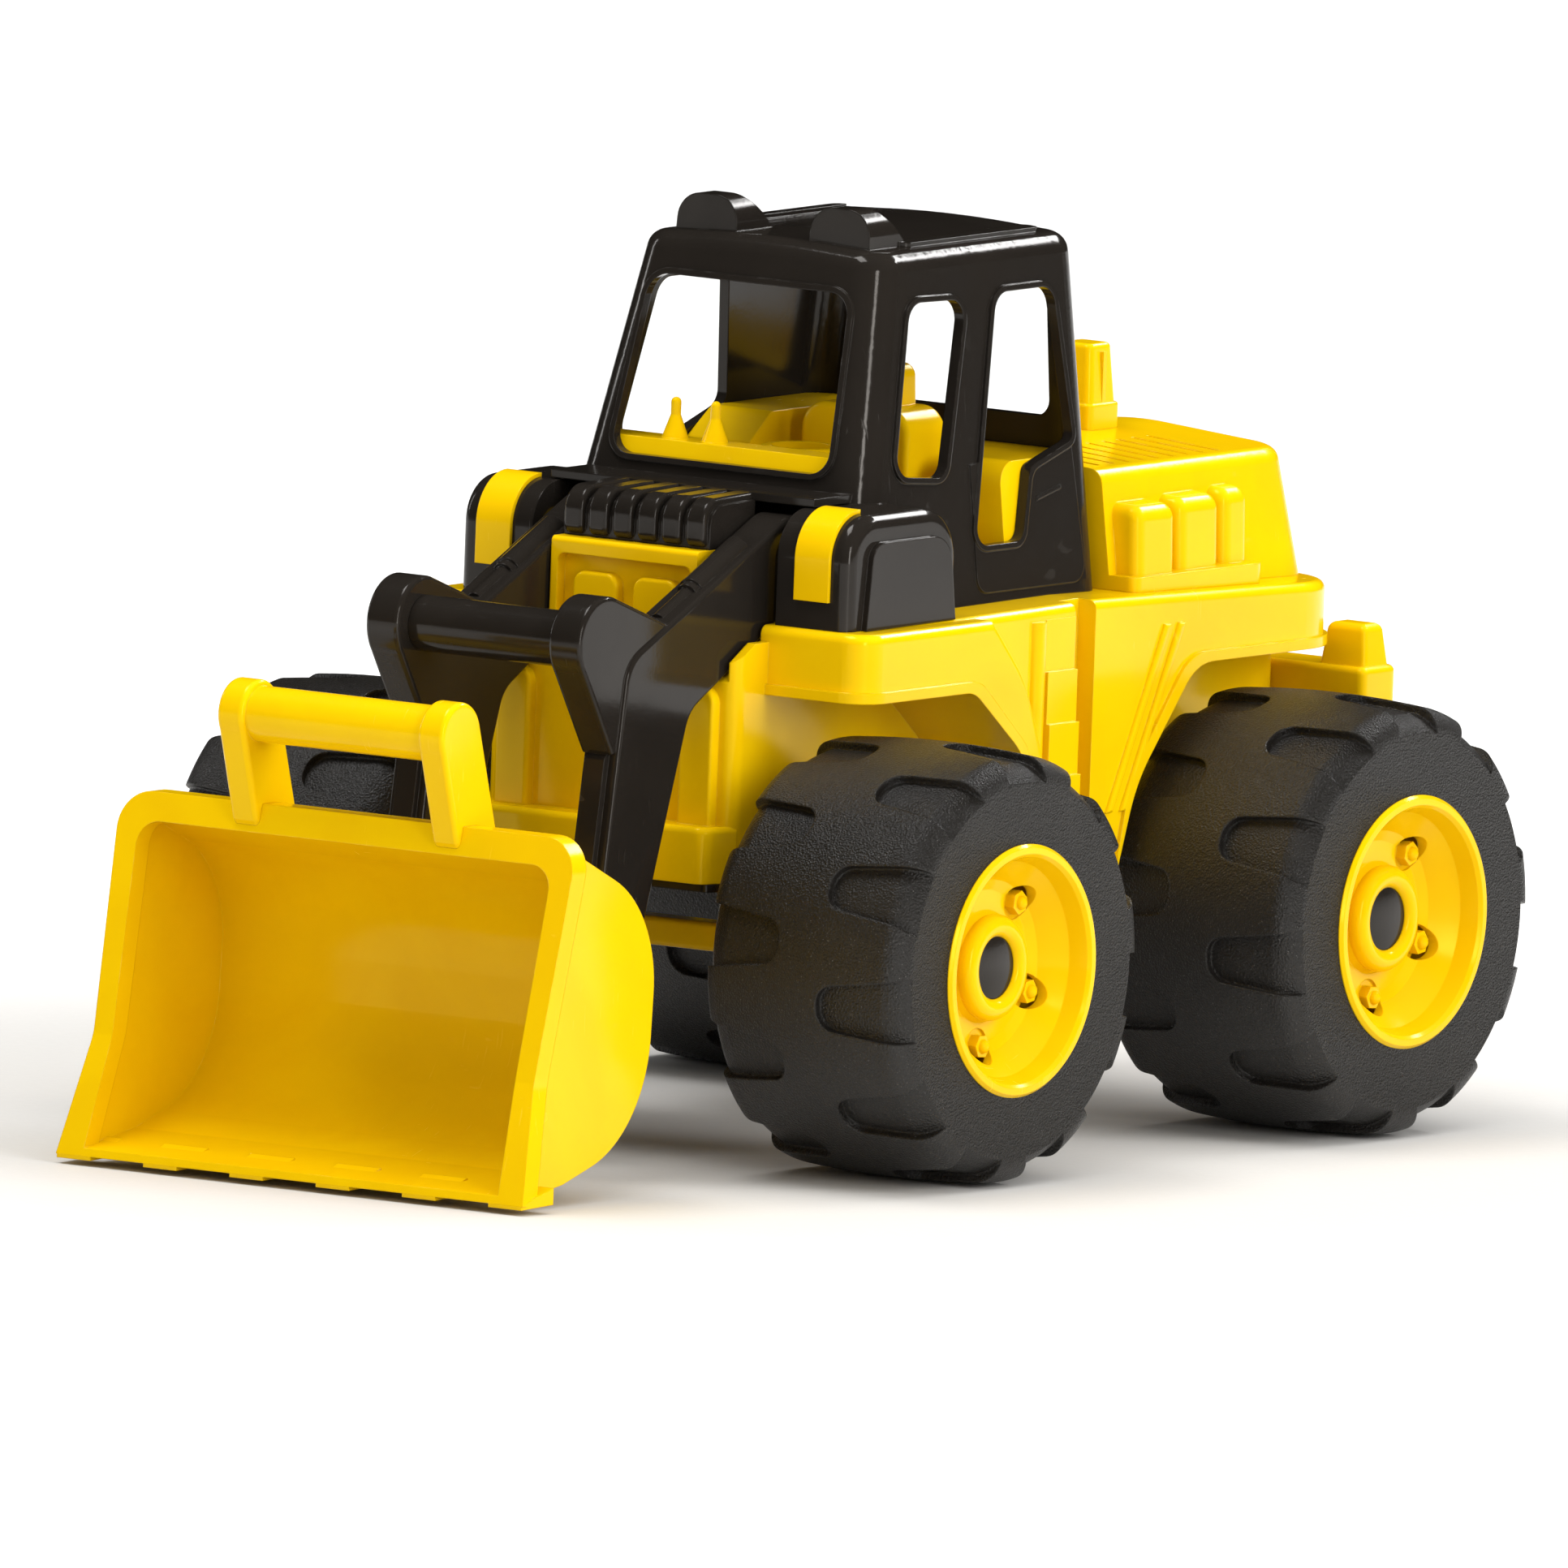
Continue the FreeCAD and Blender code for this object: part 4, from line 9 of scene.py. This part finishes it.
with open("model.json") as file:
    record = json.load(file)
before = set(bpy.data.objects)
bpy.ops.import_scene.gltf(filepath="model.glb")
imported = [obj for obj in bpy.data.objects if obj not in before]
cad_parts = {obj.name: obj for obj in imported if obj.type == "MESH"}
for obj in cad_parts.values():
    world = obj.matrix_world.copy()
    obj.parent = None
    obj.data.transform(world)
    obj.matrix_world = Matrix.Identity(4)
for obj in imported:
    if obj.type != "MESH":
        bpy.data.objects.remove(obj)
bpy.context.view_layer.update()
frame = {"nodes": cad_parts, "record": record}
nodes = frame["nodes"]
scene = bpy.context.scene

# ---- colours (linear) ------------------------------------------------------
WHITE = (1.0, 1.0, 1.0)
YELLOW = (0.770, 0.482, 0.0010)
YELLOW_DEEP = (0.735, 0.440, 0.0007)
YELLOW_WORN = (0.930, 0.640, 0.0900)
YELLOW_SHINE = (1.0, 0.84, 0.14)
BLACK = (0.0150, 0.0125, 0.0102)
BLACK_DEEP = (0.0120, 0.0100, 0.0082)
BLACK_WORN = (0.0650, 0.0600, 0.0550)
BLACK_SHINE = (1.0, 0.96, 0.92)
TYRE = (0.0075, 0.0064, 0.0052)
TYRE_DUST = (0.0240, 0.0205, 0.0170)
# pale specks painted into the tyre's colour as glints: painted highlights
TYRE_PAINTED_GLINT = (0.1900, 0.1800, 0.1650)
ZINC = (0.560, 0.570, 0.590)
ZINC_DARK = (0.380, 0.385, 0.400)
# the floor's colour near the toy, darkened as painted shade; the next one is the paler tone away from it
FLOOR_PAINTED_SHADE = (0.560, 0.548, 0.527)
FLOOR_FAR = (0.815, 0.810, 0.800)
KEY_LIGHT = (1.0, 0.98, 0.95)
SKY = (1.0, 0.995, 0.985, 1.0)

# ---- gloss -----------------------------------------------------------------
YELLOW_GLOSS = 0.13            # roughness where the plastic is at its smoothest
BLACK_GLOSS = 0.10
GLOSS_SPREAD = 0.07            # how much rougher it is elsewhere
YELLOW_IOR = 1.42
BLACK_IOR = 1.33
TYRE_IOR = 1.48
FLOOR_IOR = 1.25
TYRE_ROUGH = (0.28, 0.48)
ZINC_ROUGH = (0.24, 0.42)
FLOOR_ROUGH = (0.62, 0.74)

# ---- edges, in metres ------------------------------------------------------
EDGE_ROUND = 0.0007            # radius that moulded edges catch the light with
TYRE_EDGE_ROUND = 0.0014       # the same for the tread's pockets
STEEL_EDGE_ROUND = 0.0004
EDGE_SAMPLES = 6
EDGE_TURN = (0.985, 0.82)      # cosine of the normal's turn where an edge starts and is complete

# ---- relief: height in metres and strength ---------------------------------
PLASTIC_RELIEF = (0.00022, 0.22)
TYRE_RELIEF = (0.0006, 0.60)
ZINC_RELIEF = (0.00005, 0.35)
FLOOR_RELIEF = (0.0001, 0.15)

# ---- grain: cells or waves per metre ---------------------------------------
FLOW_GRAIN = 16.0              # cloudy flow marks of the moulding
PEEL_GRAIN = 420.0             # orange peel
RIPPLE_GRAIN = 55.0
CHIP_GRAIN = 140.0             # wear along edges
PATCH_GRAIN = 9.0              # patches that hold the scuffs
HAIR_GRAIN = (900.0, 70.0, 70.0)
HAIR_TURN = (0.3, 0.5, 0.9)
CROSS_GRAIN = (80.0, 800.0, 60.0)
CROSS_TURN = (0.7, 0.2, 0.4)
STIPPLE_GRAIN = 1150.0
FINE_GRAIN = 1900.0
DUST_GRAIN = 24.0
GLINT_GRAIN = 1500.0
# cells per metre of the painted glint specks on the tyres
PAINTED_GLINT_GRAIN = 820.0
DRAWN_GRAIN = (60.0, 2600.0, 2600.0)
CLOUD_GRAIN = 180.0
PAPER_GRAIN = 260.0
PAPER_CLOUD = 1.1

# ---- studio ----------------------------------------------------------------
FLOOR_REACH = 18.0
PAINTED_SHADE_FADE = (0.30, 0.95)      # distance from the toy where the painted shade around it starts and ends fading into the paler floor
FADE_WOBBLE = 0.05
SKY_TOP = 0.24
SKY_LOW = 0.20
SKY_RISE = 0.9                 # height on the sky's unit sphere where it is at its brightest
LIGHT_AIM = Vector((0.0, 0.0, 0.15))

# name, direction, strength, spread in degrees
SKYLIGHTS = (
    ("SkySoft", (0.10, 0.05, 1.0), 0.86, 75.0),
    ("SideSoft", (0.88, 0.14, 0.42), 0.74, 40.0),
    ("FrontSoft", (-0.10, -1.0, 0.45), 0.19, 60.0),
)

# name, direction, distance, width and height, power, colour
SOFTBOXES = (
    ("KeyRight", (0.84, -0.50, 0.22), 2.2, (0.32, 1.10), 13.0, KEY_LIGHT),
    ("Overhead", (-0.22, -0.22, 0.95), 1.9, (1.0, 0.55), 15.0, WHITE),
    ("BackStrip", (0.14, 0.80, 0.60), 2.3, (1.3, 0.16), 15.0, WHITE),
    ("StripLeft", (-0.85, -0.20, 0.35), 2.4, (0.16, 1.2), 6.0, WHITE),
)

# ---- camera: its axes, and lengths in metres -------------------------------
RIGHT = Vector((0.8176, 0.57469, 0.03617))
UP = Vector((-0.0946, 0.07209, 0.99293))
BACK = Vector((0.5680, -0.8152, 0.11331))
TARGET = Vector((0.0308, -0.0183, 0.1347))
DISTANCE = 10.0
FIELD = 0.5796                 # width of the picture
NEAREST = 0.5
FURTHEST = 60.0


# ---- node helpers ----------------------------------------------------------
class Graph:
    """One material and short ways to add and join its nodes."""

    def __init__(self, name):
        self.material = bpy.data.materials.new(name)
        self.material.use_nodes = True
        self.tree = self.material.node_tree
        self.tree.nodes.clear()
        self.out = self.add("ShaderNodeOutputMaterial")
        self.shader = self.add("ShaderNodeBsdfPrincipled")
        self.join(self.shader.outputs["BSDF"], self.out.inputs["Surface"])
        self.place = self.add("ShaderNodeTexCoord").outputs["Object"]

    def add(self, kind, **settings):
        node = self.tree.nodes.new(kind)
        for key, value in settings.items():
            setattr(node, key, value)
        return node

    def join(self, source, target):
        self.tree.links.new(source, target)

    def feed(self, socket, value):
        """Sets a socket, or joins it where value is another node's output."""
        if isinstance(value, bpy.types.NodeSocket):
            self.join(value, socket)
        elif isinstance(value, tuple):
            socket.default_value = (*value, 1.0)
        else:
            socket.default_value = value

    def noise(self, scale, detail=3.0, rough=0.55, place=None, warp=0.0):
        node = self.add("ShaderNodeTexNoise")
        self.join(place or self.place, node.inputs["Vector"])
        node.inputs["Scale"].default_value = scale
        node.inputs["Detail"].default_value = detail
        node.inputs["Roughness"].default_value = rough
        node.inputs["Distortion"].default_value = warp
        return node.outputs["Fac"]

    def lines(self, stretch, turn=(0.0, 0.0, 0.0), detail=2.0):
        """Noise drawn out into fine lines."""
        node = self.add("ShaderNodeMapping")
        self.join(self.place, node.inputs["Vector"])
        node.inputs["Scale"].default_value = stretch
        node.inputs["Rotation"].default_value = turn
        return self.noise(1.0, detail=detail, place=node.outputs["Vector"])

    def cells(self, scale):
        node = self.add("ShaderNodeTexVoronoi")
        self.join(self.place, node.inputs["Vector"])
        node.inputs["Scale"].default_value = scale
        return node.outputs["Distance"]

    def remap(self, value, low, high, to_low=0.0, to_high=1.0):
        node = self.add("ShaderNodeMapRange", interpolation_type="SMOOTHSTEP")
        self.feed(node.inputs["Value"], value)
        node.inputs["From Min"].default_value = low
        node.inputs["From Max"].default_value = high
        node.inputs["To Min"].default_value = to_low
        node.inputs["To Max"].default_value = to_high
        return node.outputs["Result"]

    def math(self, operation, a, b):
        node = self.add("ShaderNodeMath", operation=operation)
        self.feed(node.inputs[0], a)
        self.feed(node.inputs[1], b)
        return node.outputs["Value"]

    def plus(self, a, b, share):
        """a and a share of b."""
        return self.math("ADD", a, self.math("MULTIPLY", b, share))

    def minus(self, a, b, share):
        """a without a share of b."""
        return self.math("SUBTRACT", a, self.math("MULTIPLY", b, share))

    def mix(self, fac, a, b):
        node = self.add("ShaderNodeMix", data_type="RGBA")
        self.feed(node.inputs["Factor"], fac)
        self.feed(node.inputs[6], a)
        self.feed(node.inputs[7], b)
        return node.outputs[2]

    def soft_edges(self, radius):
        """Normal of the surface with its edges rounded, and a mask that is 1 on those edges."""
        bevel = self.add("ShaderNodeBevel", samples=EDGE_SAMPLES)
        bevel.inputs["Radius"].default_value = radius
        flat = self.add("ShaderNodeNewGeometry").outputs["Normal"]
        dot = self.add("ShaderNodeVectorMath", operation="DOT_PRODUCT")
        self.join(bevel.outputs["Normal"], dot.inputs[0])
        self.join(flat, dot.inputs[1])
        return bevel.outputs["Normal"], self.remap(dot.outputs["Value"], *EDGE_TURN)

    def finish(self, colour, rough, height, relief, normal=None):
        """Joins the colour, the roughness and the relief to the shader."""
        bump = self.add("ShaderNodeBump")
        bump.inputs["Distance"].default_value, bump.inputs["Strength"].default_value = relief
        self.join(height, bump.inputs["Height"])
        if normal is not None:
            self.join(normal, bump.inputs["Normal"])
        self.join(colour, self.shader.inputs["Base Color"])
        self.join(rough, self.shader.inputs["Roughness"])
        self.join(bump.outputs["Normal"], self.shader.inputs["Normal"])
        return self.material


# ---- materials -------------------------------------------------------------
def moulded_plastic(name, base, deep, worn, gloss, shine, ior):
    """Glossy moulded plastic: flow marks, fine orange peel, hairline scuffs and edges that wear paler."""
    g = Graph(name)
    flow = g.noise(FLOW_GRAIN, detail=4.0, warp=0.6)
    peel = g.noise(PEEL_GRAIN, detail=2.0)
    ripple = g.noise(RIPPLE_GRAIN, detail=1.0)
    hairs = g.math("MAXIMUM", g.lines(HAIR_GRAIN, HAIR_TURN), g.lines(CROSS_GRAIN, CROSS_TURN))
    patch = g.remap(g.noise(PATCH_GRAIN, detail=2.0), 0.50, 0.68)
    scuffs = g.math("MULTIPLY", g.remap(hairs, 0.66, 0.74), patch)
    normal, edge = g.soft_edges(EDGE_ROUND)
    chipped = g.math("MULTIPLY", edge, g.remap(g.noise(CHIP_GRAIN), 0.48, 0.66))

    colour = g.mix(g.remap(flow, 0.32, 0.68), base, deep)
    colour = g.mix(g.math("MULTIPLY", chipped, 0.35), colour, worn)
    colour = g.mix(g.math("MULTIPLY", scuffs, 0.10), colour, worn)
    rough = g.remap(flow, 0.30, 0.70, gloss, gloss + GLOSS_SPREAD)
    rough = g.plus(g.plus(rough, scuffs, 0.22), chipped, 0.12)
    height = g.plus(g.math("MULTIPLY", peel, 0.35), ripple, 0.65)
    height = g.minus(height, scuffs, 0.25)

    g.shader.inputs["IOR"].default_value = ior
    g.shader.inputs["Specular Tint"].default_value = (*shine, 1.0)
    return g.finish(colour, rough, height, PLASTIC_RELIEF, normal)


def stippled_tyre(name):
    """Blow-moulded tyre: a fine raised stipple with glints in its roughness, painted glints as pale specks
    in its colour, a little dust on it and smoother worn edges.
    """
    g = Graph(name)
    stipple = g.cells(STIPPLE_GRAIN)
    fine = g.noise(FINE_GRAIN, detail=2.0, rough=0.7)
    dust = g.remap(g.noise(DUST_GRAIN, detail=4.0, rough=0.65), 0.45, 0.72)
    dust = g.math("MULTIPLY", dust, g.remap(fine, 0.42, 0.62))
    glint = g.remap(g.cells(GLINT_GRAIN), 0.20, 0.05)
    # painted glints: pale specks mixed into the colour to stand in for sparkle highlights
    painted_glints = g.remap(g.cells(PAINTED_GLINT_GRAIN), 0.26, 0.10)
    painted_glints = g.math("MULTIPLY", painted_glints, g.remap(fine, 0.50, 0.62))
    normal, edge = g.soft_edges(TYRE_EDGE_ROUND)

    colour = g.mix(g.math("MULTIPLY", dust, 0.45), TYRE, TYRE_DUST)
    colour = g.mix(g.math("MULTIPLY", edge, 0.20), colour, TYRE_DUST)
    # mixes the painted glint specks into the tyre's colour
    colour = g.mix(g.math("MULTIPLY", painted_glints, 0.55), colour, TYRE_PAINTED_GLINT)
    rough = g.remap(fine, 0.35, 0.65, *TYRE_ROUGH)
    rough = g.minus(g.minus(rough, glint, 0.20), edge, 0.12)
    height = g.plus(g.math("MULTIPLY", stipple, 0.8), fine, 0.7)

    g.shader.inputs["IOR"].default_value = TYRE_IOR
    return g.finish(colour, rough, height, TYRE_RELIEF, normal)


def zinc_steel(name):
    """Zinc-plated steel with drawn lines along the axle and cloudy plating."""
    g = Graph(name)
    drawn = g.lines(DRAWN_GRAIN, detail=3.0)
    normal, _ = g.soft_edges(STEEL_EDGE_ROUND)
    colour = g.mix(g.remap(g.noise(CLOUD_GRAIN), 0.35, 0.65), ZINC, ZINC_DARK)
    rough = g.remap(drawn, 0.30, 0.70, *ZINC_ROUGH)
    g.shader.inputs["Metallic"].default_value = 1.0
    return g.finish(colour, rough, drawn, ZINC_RELIEF, normal)


def studio_floor(name):
    """Pale matt paper with a faint grain, darker near the toy as painted shade and paler away from it."""
    g = Graph(name)
    grain = g.noise(PAPER_GRAIN)
    away = g.add("ShaderNodeVectorMath", operation="LENGTH")
    g.join(g.place, away.inputs[0])
    # painted shade: the floor's colour is darker towards the toy and fades out with distance from it
    painted_shade_distance = g.plus(away.outputs["Value"], g.noise(PAPER_CLOUD, detail=2.0), FADE_WOBBLE)
    colour = g.mix(g.remap(painted_shade_distance, *PAINTED_SHADE_FADE), FLOOR_PAINTED_SHADE, FLOOR_FAR)
    rough = g.remap(grain, 0.3, 0.7, *FLOOR_ROUGH)
    g.shader.inputs["IOR"].default_value = FLOOR_IOR
    return g.finish(colour, rough, grain, FLOOR_RELIEF)


MATERIAL_OF_SLOT = {
    "yellow_plastic": moulded_plastic(
        "YellowPlastic", YELLOW, YELLOW_DEEP, YELLOW_WORN, YELLOW_GLOSS, YELLOW_SHINE, YELLOW_IOR),
    "black_plastic": moulded_plastic(
        "BlackPlastic", BLACK, BLACK_DEEP, BLACK_WORN, BLACK_GLOSS, BLACK_SHINE, BLACK_IOR),
    "tyre_plastic": stippled_tyre("TyrePlastic"),
    "steel": zinc_steel("ZincSteel"),
}

for part in frame["record"]["subparts"]:
    piece = nodes[part["node"]]
    piece.data.materials.clear()
    piece.data.materials.append(MATERIAL_OF_SLOT[part["material_slot"]])


# ---- studio ----------------------------------------------------------------
def make_floor():
    mesh = bpy.data.meshes.new("StudioFloor")
    corners = [(x * FLOOR_REACH, y * FLOOR_REACH, 0.0) for x, y in ((-1, -1), (1, -1), (1, 1), (-1, 1))]
    mesh.from_pydata(corners, [], [range(len(corners))])
    floor = bpy.data.objects.new("StudioFloor", mesh)
    scene.collection.objects.link(floor)
    mesh.materials.append(studio_floor("StudioFloor"))


def make_world():
    """Pale sky that lights the toy and doesn't show in its gloss."""
    world = bpy.data.worlds.new("Studio")
    scene.world = world
    world.use_nodes = True
    world.cycles_visibility.glossy = False
    tree = world.node_tree
    tree.nodes.clear()
    out = tree.nodes.new("ShaderNodeOutputWorld")
    back = tree.nodes.new("ShaderNodeBackground")
    place = tree.nodes.new("ShaderNodeTexCoord")
    split = tree.nodes.new("ShaderNodeSeparateXYZ")
    ramp = tree.nodes.new("ShaderNodeMapRange")
    ramp.inputs["From Max"].default_value = SKY_RISE
    ramp.inputs["To Min"].default_value = SKY_LOW
    ramp.inputs["To Max"].default_value = SKY_TOP
    back.inputs["Color"].default_value = SKY
    tree.links.new(place.outputs["Generated"], split.inputs["Vector"])
    tree.links.new(split.outputs["Z"], ramp.inputs["Value"])
    tree.links.new(ramp.outputs["Result"], back.inputs["Strength"])
    tree.links.new(back.outputs["Background"], out.inputs["Surface"])


def place_lamp(light, way):
    """Adds a lamp that shines against the direction it stands in."""
    lamp = bpy.data.objects.new(light.name, light)
    scene.collection.objects.link(lamp)
    lamp.rotation_mode = "QUATERNION"
    lamp.rotation_quaternion = (-way).to_track_quat("-Z", "Y")
    return lamp


def skylight(name, direction, strength, painted_shade_distance):
    """Soft even light from far away: it shapes the toy and leaves no mirror image of itself."""
    light = bpy.data.lights.new(name, "SUN")
    light.energy = strength * math.pi
    light.angle = math.radians(painted_shade_distance)
    place_lamp(light, Vector(direction).normalized()).visible_glossy = False


def softbox(name, direction, distance, size, power, colour):
    """Rectangular area light that stands in a direction from the toy and faces it."""
    light = bpy.data.lights.new(name, "AREA")
    light.shape = "RECTANGLE"
    light.size, light.size_y = size
    light.energy = power
    light.color = colour
    way = Vector(direction).normalized()
    place_lamp(light, way).location = LIGHT_AIM + way * distance


def make_camera():
    """Parallel camera at the photograph's angle."""
    data = bpy.data.cameras.new("Camera")
    data.type = "ORTHO"
    data.ortho_scale = FIELD
    data.clip_start = NEAREST
    data.clip_end = FURTHEST
    camera = bpy.data.objects.new("Camera", data)
    scene.collection.objects.link(camera)
    camera.rotation_mode = "QUATERNION"
    camera.location = TARGET + BACK * DISTANCE
    camera.rotation_quaternion = Matrix((RIGHT, UP, BACK)).transposed().to_quaternion()
    scene.camera = camera


make_floor()
make_world()
for settings in SKYLIGHTS:
    skylight(*settings)
for settings in SOFTBOXES:
    softbox(*settings)
make_camera()
scene.view_settings.view_transform = "Standard"
